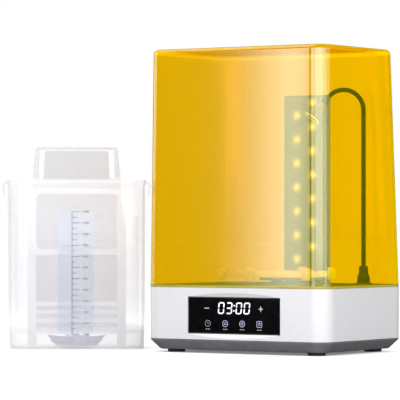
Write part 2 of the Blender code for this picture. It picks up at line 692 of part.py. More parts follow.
def build_lamp():
    socket = [(0.0128, 0.1340), (0.0150, 0.1340), (0.0165, DECK_Z + GAP), (0.0128, DECK_Z + GAP)]
    turned("lamp_socket", socket, (0.0, 0.0, 0.0), lamp_axis, BLACK_PLASTIC, steps=16, closed=True)
    boot = [(0.0, BOOT_TOP), (0.0080, BOOT_TOP), (0.0088, 0.1655), (0.0088, 0.1520),
            (0.0118, 0.1470), (0.0124, 0.1400), (0.0124, DECK_Z + GAP), (0.0, DECK_Z + GAP)]
    turned("gooseneck_boot", boot, (0.0, 0.0, 0.0), lamp_axis, BLACK_RUBBER, steps=16)
    ball = Vector((0.0, 0.0, BEND_Z - BALL_OFFSET))
    stem = [(Vector((0.0, 0.0, BOOT_TOP + GAP)), 1.0)]
    stem += dome(ball, (0.0, 0.0, 1.0))
    neck_tube("gooseneck_stem", stem, lamp_axis, BLACK_RUBBER)

    arc = neck_arc()
    end = arc[-1]
    heading = Vector((math.sin(NECK_END), 0.0, -math.cos(NECK_END)))
    last_ball = end - heading * BALL_OFFSET
    body = [(point, 1.0) for point in arc if (point - end).length > BALL_OFFSET + 0.002]
    first_ball = (0.0, 0.0, BEND_Z + BALL_OFFSET)
    arch = list(reversed(dome(first_ball, (0.0, 0.0, -1.0)))) + body + dome(last_ball, heading)
    neck_tube("gooseneck_arch", arch, lamp_axis, BLACK_RUBBER)

    head = empty("lamp_head_axis", end, parent=lamp_axis)
    head.rotation_euler = (0.0, math.pi - NECK_END, 0.0)
    ferrule = [(0.0, 0.0158), (0.0075, 0.0158), (0.0075, 0.0128), (0.0066, 0.0124),
               (0.0066, 0.0100), (0.0060, 0.0096), (0.0060, 0.0070), (0.0045, 0.0062)]
    for step in range(5):
        angle = math.radians(90.0 * step / 4)
        ferrule.append((NECK_RADIUS * math.cos(angle), BALL_OFFSET - NECK_RADIUS * math.sin(angle)))
    ferrule[-1] = (0.0, BALL_OFFSET - NECK_RADIUS)
    turned("lamp_ferrule", ferrule, (0.0, 0.0, 0.0), head, BLACK_RUBBER, steps=16)
    shade = [(0.0, 0.0175), (0.0070, 0.0175), (0.0143, 0.0530), (0.0155, 0.0530), (0.0082, 0.0161),
             (0.0, 0.0161)]
    turned("lamp_shade", shade, (0.0, 0.0, 0.0), head, CLEAR, steps=24)
    light = [(0.0, 0.0205), (0.0045, 0.0205), (0.0050, 0.0178), (0.0, 0.0178)]
    turned("lamp_led", light, (0.0, 0.0, 0.0), head, LED_WHITE, steps=12)
    lens = [(0.0, 0.0522), (0.0124, 0.0515), (0.0132, 0.0500), (0.0, 0.0500)]
    turned("lamp_lens", lens, (0.0, 0.0, 0.0), head, CLEAR, steps=24)


# ---------------------------------------------------------------- hood
def build_hood():
    straight_top = HOOD_TOP - HOOD_EDGE
    depth_top = BASE_DEPTH - HOOD_IN_FRONT - HOOD_IN_BACK
    width_top = BASE_WIDTH - 2 * HOOD_IN_SIDE
    middle_top = (HOOD_IN_FRONT - HOOD_IN_BACK) / 2
    sections = [(HOOD_BOTTOM, BASE_WIDTH, BASE_DEPTH, BASE_CORNER, BASE_CORNER, 0.0)]
    for step in range(4):
        angle = math.radians(30.0 * step)
        draw_in = HOOD_EDGE * (1.0 - math.cos(angle))
        sections.append((straight_top + HOOD_EDGE * math.sin(angle), width_top - 2 * draw_in,
                         depth_top - 2 * draw_in, BASE_CORNER - draw_in, HOOD_REAR_CORNER - draw_in,
                         middle_top))
    thicken(loft("hood_shell", sections, machine, AMBER, segments=6, bottom=False), WALL)
    box("hood_magnet", (0.010, 0.0035, 0.008), (SENSOR_X, REAR - 0.0055, 0.1390), machine, NICKEL)


# ---------------------------------------------------------------- bucket
def build_tub():
    sections = [(0.0, 0.264, 0.177, 0.024, 0.024, 0.0),
                (0.003, 0.267, 0.180, 0.026, 0.026, 0.0),
                (0.040, 0.271, 0.184, 0.028, 0.028, 0.0),
                (0.322, 0.273, 0.186, 0.028, 0.028, 0.0),
                (0.328, 0.277, 0.190, 0.030, 0.030, 0.0),
                (TUB_HEIGHT, 0.277, 0.190, 0.030, 0.030, 0.0)]
    tub = thicken(loft("bucket_tub", sections, bucket, FROSTED, top=False), TUB_WALL)
    lip = [(0.1370, 0.3330), (0.1430, 0.3325), (0.1472, 0.3290), (0.1482, 0.3230), (0.1462, 0.3130),
           (0.1470, 0.3050), (0.1450, 0.3045), (0.1440, 0.3130), (0.1462, 0.3230), (0.1455, 0.3275),
           (0.1425, 0.3303), (0.1370, 0.3308)]
    for name, side in (("lip_left", -1), ("lip_right", 1)):
        outline = [(side * x, z) for x, z in lip]
        if side > 0:
            outline.reverse()
        strip = outline_solid(name, [outline], LIP_LENGTH, (0.0, 0.0, 0.0),
                              (math.pi / 2, 0.0, 0.0), bucket, FROSTED, cutter=True)
        weld_on(tub, strip)


def build_impeller():
    floor = TUB_FLOOR_TOP + GAP
    post = [(0.0, 0.0225), (0.0038, 0.0225), (0.0038, 0.0045), (0.0120, 0.0040), (0.0120, floor),
            (0.0, floor)]
    turned("impeller_post", post, (0.0, 0.0, 0.0), bucket, STEEL, steps=16)
    bore = 0.0042
    hub = [(bore, IMPELLER_TOP - 0.001), (0.0150, IMPELLER_TOP - 0.001), (0.0190, 0.0100),
           (0.0440, 0.0085), (0.0440, 0.0055), (0.0200, 0.0055), (0.0200, 0.0072), (bore, 0.0072)]
    impeller = turned("impeller", hub, (0.0, 0.0, 0.0), bucket, NAVY, steps=24, closed=True)
    fin = [(0.0140, 0.0076), (0.0430, 0.0076), (0.0560, 0.0160), (0.0520, 0.0190),
           (IMPELLER_RADIUS, IMPELLER_TOP), (0.0480, 0.0235), (0.0140, 0.0215)]
    for blade in range(IMPELLER_BLADES):
        angle = math.tau * (blade + 0.35) / IMPELLER_BLADES
        strip = outline_solid(f"fin_{blade}", [fin], BLADE_THICK, (0.0, 0.0, 0.0),
                              (math.pi / 2, 0.0, angle), impeller, NAVY, cutter=True)
        weld_on(impeller, strip)
    ring = [(0.0125, 0.0069), (0.0188, 0.0069), (0.0188, 0.0050), (0.0125, 0.0050)]
    turned("impeller_magnet", ring, (0.0, 0.0, 0.0), bucket, NICKEL, steps=16, closed=True)


# ---------------------------------------------------------------- basket
def build_cage():
    """The basket's walls, with windows and slots in front and slots at the ends."""
    sections = [(CAGE_BOTTOM, CAGE_WIDTH, CAGE_DEPTH, CAGE_CORNER, CAGE_CORNER, 0.0),
                (CAGE_TOP, CAGE_WIDTH, CAGE_DEPTH, CAGE_CORNER, CAGE_CORNER, 0.0)]
    cage = loft("basket_body", sections, bucket, FROSTED)
    inner = CAGE_CORNER - CAGE_WALL
    hollow = loft("cage_hollow",
                  [(CAGE_BOTTOM - 0.01, CAGE_WIDTH - 2 * CAGE_WALL, CAGE_DEPTH - 2 * CAGE_WALL,
                    inner, inner, 0.0),
                   (CAGE_TOP + 0.01, CAGE_WIDTH - 2 * CAGE_WALL, CAGE_DEPTH - 2 * CAGE_WALL,
                    inner, inner, 0.0)], bucket, FROSTED, cutter=True)
    cut(cage, hollow)
    for name, low, high in (("window_low", 0.094, 0.187), ("window_high", 0.199, 0.300)):
        cut(cage, box(name, (2 * WINDOW_HALF, CAGE_DEPTH, high - low),
                      (0.0, -CAGE_DEPTH / 2, (low + high) / 2), bucket, cutter=True))
    for row, (low, high) in enumerate(SLOT_HEIGHTS):
        cut(cage, box(f"front_slot_{row}", (2 * WINDOW_HALF, CAGE_DEPTH, high - low),
                      (0.0, -CAGE_DEPTH / 2, (low + high) / 2), bucket, cutter=True),
            box(f"side_slot_{row}", (CAGE_WIDTH + 0.02, 0.100, high - low),
                (0.0, 0.0, (low + high) / 2), bucket, cutter=True))


def build_basket_floor():
    half_wall = CAGE_WALL + GAP
    corner = CAGE_CORNER - half_wall
    width = CAGE_WIDTH - 2 * half_wall
    depth = CAGE_DEPTH - 2 * half_wall
    low = CAGE_BOTTOM
    high = CAGE_BOTTOM + 0.003
    floor = loft("basket_floor", [(low, width, depth, corner, corner, 0.0),
                                  (high, width, depth, corner, corner, 0.0)], bucket, FROSTED)
    for column in range(DRAIN_COLUMNS):
        x = (column - (DRAIN_COLUMNS - 1) / 2) * DRAIN_PITCH
        for row, y in (("front", -0.031), ("rear", 0.031)):
            hole = box(f"drain_{row}_{column}", (0.020, 0.050, 0.02), (x, y, low), bucket,
                       cutter=True)
            cut(floor, hole)


def leg_side():
    """The right edge of a frame, from the inside of its foot up to the rim of the tub."""
    foot = TUB_FLOOR_TOP + 2 * GAP
    return [(0.082, foot), (0.098, foot), (0.098, 0.247), (0.0945, 0.270), (0.090, 0.292),
            (0.088, 0.308), (0.088, 0.334)]


def mirrored_outline(right):
    """A whole outline from its right side, closed across the bottom between the legs."""
    left = [(-x, z) for x, z in reversed(right)]
    return right + left + [(-0.082, CAGE_BOTTOM), (0.082, CAGE_BOTTOM)]


def rounded_top(half_width, top, corner, steps=3):
    """The last points of a right side, round its top corner."""
    return [(half_width - corner + corner * math.cos(math.radians(5.0 + 85.0 * step / steps)),
             top - corner + corner * math.sin(math.radians(5.0 + 85.0 * step / steps)))
            for step in range(steps + 1)]


def build_frames():
    """The open front frame and the solid rear panel, which both end in a hand grip."""
    upright = (math.pi / 2, 0.0, 0.0)
    front = leg_side() + [(0.0866, 0.340)] + rounded_top(0.0815, GRIP_TOP, 0.006)
    holes = [round_slot(0.080, 0.199, 0.308, 0.010), round_slot(0.0805, 0.094, 0.187, 0.004)]
    holes += [round_slot(0.0805, low, high, 0.002, segments=2) for low, high in SLOT_HEIGHTS]
    holes.append([(-0.0755, 0.339), (0.0755, 0.339), (0.0735, 0.3965), (-0.0735, 0.3965)])
    outline_solid("basket_front_frame", [mirrored_outline(front)] + holes, FRAME_THICK,
                  (0.0, -FRAME_Y, 0.0), upright, bucket, FROSTED)
    rear = leg_side() + [(0.0670, 0.337)] + rounded_top(0.0645, PANEL_TOP, 0.003)
    outline_solid("basket_rear_panel", [mirrored_outline(rear)], FRAME_THICK,
                  (0.0, FRAME_Y, 0.0), upright, bucket, FROSTED)


build_tray()
build_feet()
build_housing()
build_panel()
build_rear_fittings()
build_fan()
build_boards()
build_screws()
build_drive()
build_turntable()
build_tower()
build_lamp()
build_hood()
build_tub()
build_impeller()
build_cage()
build_basket_floor()
build_frames()
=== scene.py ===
import math

import bmesh
import bpy
from mathutils import Matrix, Vector


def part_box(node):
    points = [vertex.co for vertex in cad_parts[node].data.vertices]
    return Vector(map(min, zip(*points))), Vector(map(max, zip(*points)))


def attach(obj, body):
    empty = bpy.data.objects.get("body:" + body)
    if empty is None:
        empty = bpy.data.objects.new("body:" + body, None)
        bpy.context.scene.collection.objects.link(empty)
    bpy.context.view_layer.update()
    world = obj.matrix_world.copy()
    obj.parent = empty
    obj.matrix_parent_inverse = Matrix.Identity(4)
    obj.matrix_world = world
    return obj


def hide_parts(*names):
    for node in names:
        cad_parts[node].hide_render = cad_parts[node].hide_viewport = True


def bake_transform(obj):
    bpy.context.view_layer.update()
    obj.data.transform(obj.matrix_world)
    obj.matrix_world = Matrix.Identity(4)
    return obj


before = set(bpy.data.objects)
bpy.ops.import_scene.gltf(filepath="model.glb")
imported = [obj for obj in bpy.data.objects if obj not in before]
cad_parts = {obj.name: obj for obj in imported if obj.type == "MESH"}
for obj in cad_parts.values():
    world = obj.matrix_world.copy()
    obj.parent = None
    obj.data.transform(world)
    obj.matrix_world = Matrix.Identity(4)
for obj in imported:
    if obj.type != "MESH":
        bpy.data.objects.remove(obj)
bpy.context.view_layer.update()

BUCKET_TURN = math.radians(35.9)
LAMP_TURN = math.radians(226.0)
NECK_END = math.radians(39.0)      # how far round its bend the neck ends
NECK_BEND = 0.040
NECK_STRAIGHT_TOP = 0.472
NECK_RADIUS = 0.0045
NECK_RIB = 0.0026                  # from one rib of the neck to the next
BASE_CORNER = 0.034
WALL = 0.003
DECK_Z = 0.1315
LEDGE_Z = 0.1275
PANEL_X = 0.002
PANEL_Z = 0.0738
PANEL_WIDTH = 0.209
PANEL_HEIGHT = 0.0704
REAR_ROW_Z = 0.060
JACK_X = -0.105
SWITCH_X = -0.150
ROCKER_TILT = math.radians(-8.0)   # the switch at rest
FAN_X = 0.090
FAN_Z = 0.072
GRILLE_RADIUS = 0.027
GRILLE_PITCH = 0.0075
TOWER_X = -0.002
LED_COLUMN = 0.018
LED_PITCH = 0.0475
LED_COUNT = 7
LED_FIRST = {"left": 0.1796, "right": 0.2043}
PAD_COUNT = 6
PAD_FIRST = math.radians(33.4)
LITRE = 0.02206                    # height of one litre in the tub
SCALE_LOW = 0.0303
SLOT_HEIGHTS = ((0.0430, 0.0527), (0.0606, 0.0705), (0.0775, 0.0860))


def middle(node):
    low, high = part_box(node)
    return (low + high) / 2


def upright_at(node, turn=0.0):
    """The frame on the floor below a node's middle, turned about the vertical."""
    spot = middle(node)
    return Matrix.Translation((spot.x, spot.y, 0.0)) @ Matrix.Rotation(turn, 4, "Z")


MACHINE = upright_at("base_housing")
BUCKET = upright_at("impeller_post", BUCKET_TURN)
DRIVE = upright_at("drive_seat")
LAMP = upright_at("lamp_socket", LAMP_TURN)
NECK_TIP = Vector((NECK_BEND * (1.0 + math.cos(NECK_END)), 0.0,
                   NECK_STRAIGHT_TOP + NECK_BEND * math.sin(NECK_END)))
LAMP_HEAD = LAMP @ Matrix.Translation(NECK_TIP) @ Matrix.Rotation(math.pi - NECK_END, 4, "Y")
UPRIGHT = Matrix.Rotation(math.pi / 2, 4, "X")     # stands a flat outline up, facing -Y


# ---------------------------------------------------------------- paint
def new_paint(name):
    paint = bpy.data.materials.new(name)
    paint.use_nodes = True
    return paint, paint.node_tree, paint.node_tree.nodes["Principled BSDF"]


def own_coordinates(tree, stretch=(1.0, 1.0, 1.0)):
    where = tree.nodes.new("ShaderNodeTexCoord")
    mapping = tree.nodes.new("ShaderNodeMapping")
    mapping.inputs["Scale"].default_value = stretch
    tree.links.new(where.outputs["Object"], mapping.inputs["Vector"])
    return mapping.outputs["Vector"]


def grain(tree, scale, detail=3.0, stretch=(1.0, 1.0, 1.0)):
    noise = tree.nodes.new("ShaderNodeTexNoise")
    noise.inputs["Scale"].default_value = scale
    noise.inputs["Detail"].default_value = detail
    tree.links.new(own_coordinates(tree, stretch), noise.inputs["Vector"])
    return noise.outputs["Fac"]


def ramp(tree, source, dark, light, low=0.35, high=0.65):
    steps = tree.nodes.new("ShaderNodeValToRGB")
    steps.color_ramp.elements[0].position = low
    steps.color_ramp.elements[0].color = (*dark, 1.0)
    steps.color_ramp.elements[1].position = high
    steps.color_ramp.elements[1].color = (*light, 1.0)
    tree.links.new(source, steps.inputs["Fac"])
    return steps.outputs["Color"]


def spread(tree, source, low, high, first=0.3, last=0.7):
    scale = tree.nodes.new("ShaderNodeMapRange")
    scale.inputs["From Min"].default_value = first
    scale.inputs["From Max"].default_value = last
    scale.inputs["To Min"].default_value = low
    scale.inputs["To Max"].default_value = high
    tree.links.new(source, scale.inputs["Value"])
    return scale.outputs["Result"]


def calculate(tree, operation, first, second):
    sum_node = tree.nodes.new("ShaderNodeMath")
    sum_node.operation = operation
    for socket, value in zip(sum_node.inputs, (first, second)):
        if isinstance(value, (int, float)):
            socket.default_value = value
        else:
            tree.links.new(value, socket)
    return sum_node.outputs["Value"]


def roughen(tree, shader, source, height, strength=0.5):
    bump = tree.nodes.new("ShaderNodeBump")
    bump.inputs["Strength"].default_value = strength
    bump.inputs["Distance"].default_value = height
    tree.links.new(source, bump.inputs["Height"])
    tree.links.new(bump.outputs["Normal"], shader.inputs["Normal"])


def moulded(name, dark, light, rough_low, rough_high, mottle=60.0, fine=1800.0, height=0.00004,
            metallic=0.0, stretch=(1.0, 1.0, 1.0), coat=0.0):
    """A solid finish: a slow change of colour, an uneven gloss and a fine grain."""
    paint, tree, shader = new_paint(name)
    slow = grain(tree, mottle, 2.0, stretch)
    quick = grain(tree, fine, 2.0, stretch)
    tree.links.new(ramp(tree, slow, dark, light), shader.inputs["Base Color"])
    tree.links.new(spread(tree, quick, rough_low, rough_high), shader.inputs["Roughness"])
    roughen(tree, shader, quick, height)
    shader.inputs["Metallic"].default_value = metallic
    shader.inputs["Coat Weight"].default_value = coat
    return paint


def edge_weight(tree, power, low, high):
    """From low where a surface faces the view to high where it is seen edge-on."""
    weight = tree.nodes.new("ShaderNodeLayerWeight")
    weight.inputs["Blend"].default_value = 0.5
    raised = calculate(tree, "POWER", weight.outputs["Facing"], power)
    return spread(tree, raised, low, high, 0.0, 1.0)


def along(tree, axis, start, end, low, high):
    """From low to high between two places on one of an object's own axes."""
    split = tree.nodes.new("ShaderNodeSeparateXYZ")
    tree.links.new(own_coordinates(tree), split.inputs["Vector"])
    return spread(tree, split.outputs[axis], low, high, start, end)


def shade_along(paint, axis, start, end, first, last):
    """Let a paint's colour change from first to last between two places on an axis."""
    tree = paint.node_tree
    colour = ramp(tree, along(tree, axis, start, end, 0.0, 1.0), first, last, 0.0, 1.0)
    tree.links.new(colour, tree.nodes["Principled BSDF"].inputs["Base Color"])


def see_through(name, tint, rim_tint, body_dark, body_light, haze, rim_haze, rough, gloss,
                gloss_rough, mottle=25.0, more_haze=None, tints=(), rim_gloss=8.0):
    """A clear or frosted plastic wall: tinted view, some haze of its own, and a sheen on top.

    haze is the share of the light that each surface scatters itself.  more_haze gives an axis,
    two places along it and the haze that is added from the first to the second of them; tints
    gives the same for a colour that the view is multiplied by."""
    paint, tree, shader = new_paint(name)
    slow = grain(tree, mottle, 3.0)
    quick = grain(tree, 900.0, 2.0)
    tree.links.new(ramp(tree, slow, body_dark, body_light), shader.inputs["Base Color"])
    tree.links.new(spread(tree, quick, rough - 0.05, rough + 0.05), shader.inputs["Roughness"])
    shader.inputs["Specular IOR Level"].default_value = 0.0
    clear = tree.nodes.new("ShaderNodeBsdfTransparent")
    view_tint = ramp(tree, edge_weight(tree, 5.0, 0.0, 1.0), tint, rim_tint, 0.0, 1.0)
    for axis, start, end, last in tints:
        side = ramp(tree, along(tree, axis, start, end, 0.0, 1.0), (1.0, 1.0, 1.0), last,
                    0.0, 1.0)
        both = tree.nodes.new("ShaderNodeVectorMath")
        both.operation = "MULTIPLY"
        tree.links.new(view_tint, both.inputs[0])
        tree.links.new(side, both.inputs[1])
        view_tint = both.outputs["Vector"]
    tree.links.new(view_tint, clear.inputs["Color"])
    wall = tree.nodes.new("ShaderNodeMixShader")
    uneven = spread(tree, slow, 0.97, 1.03)
    share = calculate(tree, "MULTIPLY", edge_weight(tree, 3.0, haze, rim_haze), uneven)
    if more_haze:
        axis, start, end, amount = more_haze
        share = calculate(tree, "ADD", share, along(tree, axis, start, end, 0.0, amount))
    tree.links.new(share, wall.inputs["Fac"])
    tree.links.new(clear.outputs["BSDF"], wall.inputs[1])
    tree.links.new(shader.outputs["BSDF"], wall.inputs[2])
    if not gloss:
        tree.links.new(wall.outputs["Shader"], tree.nodes["Material Output"].inputs["Surface"])
        return paint
    sheen = tree.nodes.new("ShaderNodeBsdfGlossy")
    sheen.inputs["Color"].default_value = (1.0, 1.0, 1.0, 1.0)
    tree.links.new(spread(tree, quick, gloss_rough * 0.85, gloss_rough * 1.15),
                   sheen.inputs["Roughness"])
    coated = tree.nodes.new("ShaderNodeMixShader")
    tree.links.new(edge_weight(tree, 5.0, gloss, gloss * rim_gloss), coated.inputs["Fac"])
    tree.links.new(wall.outputs["Shader"], coated.inputs[1])
    tree.links.new(sheen.outputs["BSDF"], coated.inputs[2])
    tree.links.new(coated.outputs["Shader"], tree.nodes["Material Output"].inputs["Surface"])
    return paint


def glowing(name, colour, strength, body=(0.6, 0.6, 0.6)):
    paint, tree, shader = new_paint(name)
    slow = grain(tree, 300.0, 1.0)
    tree.links.new(ramp(tree, slow, [c * 0.9 for c in body], body), shader.inputs["Base Color"])
    tree.links.new(spread(tree, slow, 0.3, 0.5), shader.inputs["Roughness"])
    tree.links.new(ramp(tree, slow, [c * 0.92 for c in colour], colour),
                   shader.inputs["Emission Color"])
    shader.inputs["Emission Strength"].default_value = strength
    return paint


def lit_diffuser(name):
    """The lamp tower's milky front, with a painted glow round each of its LEDs: pools of emission that
    stand in for their light spreading through it.
    """
    paint, tree, shader = new_paint(name)
    slow = grain(tree, 40.0, 2.0)
    tree.links.new(ramp(tree, slow, (0.10, 0.105, 0.10), (0.13, 0.135, 0.13)),
                   shader.inputs["Base Color"])
    tree.links.new(spread(tree, slow, 0.25, 0.4), shader.inputs["Roughness"])
    where = tree.nodes.new("ShaderNodeTexCoord")
    split = tree.nodes.new("ShaderNodeSeparateXYZ")
    tree.links.new(where.outputs["Object"], split.inputs["Vector"])
    total = None
    for side, column in (("left", -LED_COLUMN), ("right", LED_COLUMN)):
        first = LED_FIRST[side]
        across = calculate(tree, "SUBTRACT", split.outputs["X"], TOWER_X + column)
        up = calculate(tree, "SUBTRACT", split.outputs["Z"], first)
        near = tree.nodes.new("ShaderNodeMath")
        near.operation = "WRAP"
        tree.links.new(up, near.inputs[0])
        near.inputs[1].default_value = LED_PITCH / 2
        near.inputs[2].default_value = -LED_PITCH / 2
        reach = calculate(tree, "POWER",
                          calculate(tree, "ADD", calculate(tree, "MULTIPLY", across, across),
                                    calculate(tree, "MULTIPLY", near.outputs["Value"],
                                              near.outputs["Value"])), 0.5)
        glow = calculate(tree, "POWER", spread(tree, reach, 1.0, 0.0, 0.0025, 0.016), 2.2)
        low_mask = calculate(tree, "GREATER_THAN", split.outputs["Z"], first - LED_PITCH / 2)
        high_mask = calculate(tree, "LESS_THAN", split.outputs["Z"],
                              first + (LED_COUNT - 0.5) * LED_PITCH)
        glow = calculate(tree, "MULTIPLY", glow, calculate(tree, "MULTIPLY", low_mask, high_mask))
        total = glow if total is None else calculate(tree, "ADD", total, glow)
    shader.inputs["Emission Color"].default_value = (1.0, 0.97, 0.72, 1.0)
    tree.links.new(calculate(tree, "MULTIPLY", total, 1.05), shader.inputs["Emission Strength"])
    return paint


WHITE = moulded("white_shell", (0.400, 0.400, 0.418), (0.408, 0.408, 0.426), 0.26, 0.32, coat=0.6)
WHITE.node_tree.nodes["Principled BSDF"].inputs["Coat Roughness"].default_value = 0.25
SKIRT = moulded("dark_skirt", (0.085, 0.082, 0.090), (0.100, 0.097, 0.105), 0.38, 0.5)
RUBBER = moulded("black_rubber", (0.010, 0.010, 0.010), (0.018, 0.018, 0.018), 0.65, 0.85,
                 height=0.0001)
BLACK_GLASS = moulded("black_glass", (0.0015, 0.0015, 0.0018), (0.0025, 0.0025, 0.003), 0.05, 0.09,
                      fine=400.0, height=0.000002)
GLASS_EDGE = moulded("glass_edge", (0.05, 0.05, 0.055), (0.09, 0.09, 0.095), 0.2, 0.3)
GREY = moulded("grey_plastic", (0.10, 0.105, 0.10), (0.13, 0.135, 0.13), 0.38, 0.5)
# Painted shade: the hollow round the panel is painted lighter low down and darker towards its top, as
# light falls into it from above.
SCOOP_SHADE = moulded("scoop_painted_shade", (0.30, 0.30, 0.315), (0.31, 0.31, 0.325), 0.26, 0.32)
shade_along(SCOOP_SHADE, "Z", 0.0386, 0.109, (0.48, 0.48, 0.495), (0.31, 0.31, 0.325))
# Painted shade: a dark grey sheet on the white deck stands in for the shade inside the foot of the
# hood.
DECK_SHADE = moulded("deck_painted_shade", (0.17, 0.19, 0.16), (0.19, 0.21, 0.18), 0.5, 0.65)
BLACK = moulded("black_plastic", (0.018, 0.018, 0.019), (0.028, 0.028, 0.030), 0.4, 0.55)
NAVY = moulded("navy_plastic", (0.095, 0.130, 0.260), (0.115, 0.150, 0.290), 0.35, 0.45)
STEEL = moulded("brushed_steel", (0.50, 0.50, 0.51), (0.62, 0.62, 0.63), 0.22, 0.38, mottle=30.0,
                fine=500.0, height=0.00001, metallic=1.0, stretch=(1.0, 1.0, 12.0))
NICKEL = moulded("nickel_plate", (0.62, 0.61, 0.58), (0.72, 0.71, 0.68), 0.15, 0.25, metallic=1.0,
                 height=0.000005)
ZINC = moulded("zinc_plate", (0.42, 0.43, 0.45), (0.58, 0.58, 0.58), 0.3, 0.5, mottle=180.0,
               metallic=1.0, height=0.00002)
BOARD = moulded("circuit_board", (0.012, 0.075, 0.032), (0.022, 0.110, 0.050), 0.3, 0.45,
                mottle=900.0, fine=260.0)
LED_BOARD = moulded("led_board", (0.55, 0.56, 0.52), (0.66, 0.67, 0.62), 0.35, 0.45)
PRINT = moulded("scale_print", (0.008, 0.009, 0.012), (0.014, 0.015, 0.020), 0.5, 0.6)
AMBER_LOOK = ((1.0, 0.79, 0.0), (0.85, 0.50, 0.03), (0.25, 0.41, 0.0), (0.27, 0.44, 0.0), 0.035,
              0.14, 0.3)
# Painted shade: the hood's front face gets more haze than its sides, so it looks duller.
AMBER_FRONT_SHADE = ("Y", -0.118, -0.150, 0.145)
# Painted light: the view through the hood's right side is made greener and brighter, and through its
# top edge brighter still, as painted highlights.
AMBER_SIDE_AND_TOP_LIGHT = (("X", 0.172, 0.200, (1.0, 1.14, 1.0)), ("Z", 0.5775, 0.5795, (1.16, 1.17, 3.4)))
AMBER = see_through("amber_acrylic", *AMBER_LOOK, 0.08, 0.09, more_haze=AMBER_FRONT_SHADE, rim_gloss=5.0,
                    tints=AMBER_SIDE_AND_TOP_LIGHT)
AMBER_INSIDE = see_through("amber_inside", *AMBER_LOOK, 0.0, 0.09, more_haze=AMBER_FRONT_SHADE,
                           tints=AMBER_SIDE_AND_TOP_LIGHT)
# Painted shade: the haze colour darkens towards the hood's front.
for amber in (AMBER, AMBER_INSIDE):
    shade_along(amber, "Y", -0.118, -0.150, (0.45, 0.58, 0.0), (0.26, 0.37, 0.0))
# Painted highlight: a hazy band round the hood's foot stands in for the bright line of light at the
# acrylic's edge.
AMBER_EDGE_LIGHT = see_through("amber_painted_edge_light", (0.9, 0.75, 0.05), (0.85, 0.6, 0.05), (0.27, 0.25, 0.035),
                        (0.30, 0.28, 0.04), 0.75, 0.9, 0.3, 0.03, 0.2)
TUB = see_through("tub_plastic", (0.994, 0.994, 0.997), (0.975, 0.975, 0.988),
                  (0.53, 0.528, 0.545), (0.555, 0.553, 0.57), 0.07, 0.19, 0.4, 0.008, 0.10,
                  more_haze=("Z", 0.050, 0.034, 0.24), rim_gloss=12.0)
CAGE = see_through("cage_plastic", (0.993, 0.993, 0.996), (0.99, 0.99, 0.994),
                   (0.62, 0.62, 0.635), (0.66, 0.66, 0.675), 0.03, 0.05, 0.5, 0.01, 0.25,
                   rim_gloss=4.0)
FRONT_FRAME = see_through("front_frame_plastic", (0.975, 0.975, 0.98), (0.95, 0.95, 0.96),
                          (0.570, 0.568, 0.578), (0.590, 0.588, 0.598), 0.42, 0.6, 0.4, 0.01, 0.2,
                          rim_gloss=4.0)
# Painted light: the frame is painted lighter below the tub's rim, making up for the tub's shade, than
# above it.
shade_along(FRONT_FRAME, "Z", 0.330, 0.345, (0.57, 0.57, 0.58), (0.39, 0.39, 0.40))
# Painted shade: the rear panel is a darker copy of the basket's plastic for the shade on it, and is
# painted lighter below the tub's rim than above it, making up for the tub's shade.
BACK_PANEL_SHADED = see_through("back_panel_shaded_plastic", (0.93, 0.93, 0.94), (0.90, 0.90, 0.92),
                         (0.44, 0.438, 0.455), (0.46, 0.458, 0.475), 0.30, 0.5, 0.5, 0.01, 0.25,
                         rim_gloss=4.0)
shade_along(BACK_PANEL_SHADED, "Z", 0.330, 0.345, (0.45, 0.448, 0.465), (0.39, 0.387, 0.407))
WINDOW_STRIP = see_through("polished_strip", (0.952, 0.970, 0.994), (0.92, 0.94, 0.97),
                           (0.44, 0.50, 0.58), (0.47, 0.53, 0.61), 0.03, 0.2, 0.3, 0.008, 0.06)
CLEAR = see_through("clear_plastic", (0.93, 0.95, 0.90), (0.6, 0.64, 0.58), (0.60, 0.62, 0.56),
                    (0.66, 0.68, 0.62), 0.22, 0.7, 0.3, 0.06, 0.08)
MILKY = see_through("milky_plastic", (0.985, 0.99, 0.95), (0.88, 0.91, 0.82), (0.94, 0.97, 0.84),
                    (0.97, 1.0, 0.88), 0.38, 0.6, 0.3, 0.05, 0.10)
SHADE = see_through("lamp_shade", (0.78, 0.80, 0.72), (0.30, 0.34, 0.24), (0.20, 0.23, 0.15),
                    (0.24, 0.27, 0.18), 0.28, 0.8, 0.3, 0.06, 0.08)
LED_GLOW = glowing("led_glow", (1.0, 0.97, 0.70), 1.2)
# Painted glow: the lamp shade's rim gives off light of its own, standing in for the LED's light at its
# edge.
LAMP_RIM_GLOW = glowing("lamp_rim_painted_glow", (0.75, 0.95, 0.20), 1.2)
DISPLAY = glowing("display_light", (0.86, 0.80, 1.0), 1.1, (0.3, 0.3, 0.3))
DISPLAY_DIM = glowing("display_dim", (0.42, 0.42, 0.46), 0.35, (0.2, 0.2, 0.2))
DISPLAY_TINT = glowing("display_tint", (0.62, 0.52, 0.86), 0.8, (0.25, 0.2, 0.3))
DIFFUSER = lit_diffuser("lamp_diffuser_painted_glow")


# ---------------------------------------------------------------- shapes
def mm(*points):
    """Points given in millimetres."""
    return [tuple(value / 1000.0 for value in point) for point in points]


def add_shape(target, source, at=Matrix.Identity(4)):
    """Move one bmesh into another."""
    source.transform(at)
    mesh = bpy.data.meshes.new("part")
    source.to_mesh(mesh)
    source.free()
    target.from_mesh(mesh)
    bpy.data.meshes.remove(mesh)
    return target


def together(*shapes):
    target = bmesh.new()
    for shape in shapes:
        add_shape(target, shape)
    return target


def moved(shape, x=0.0, y=0.0, z=0.0):
    shape.transform(Matrix.Translation((x, y, z)))
    return shape


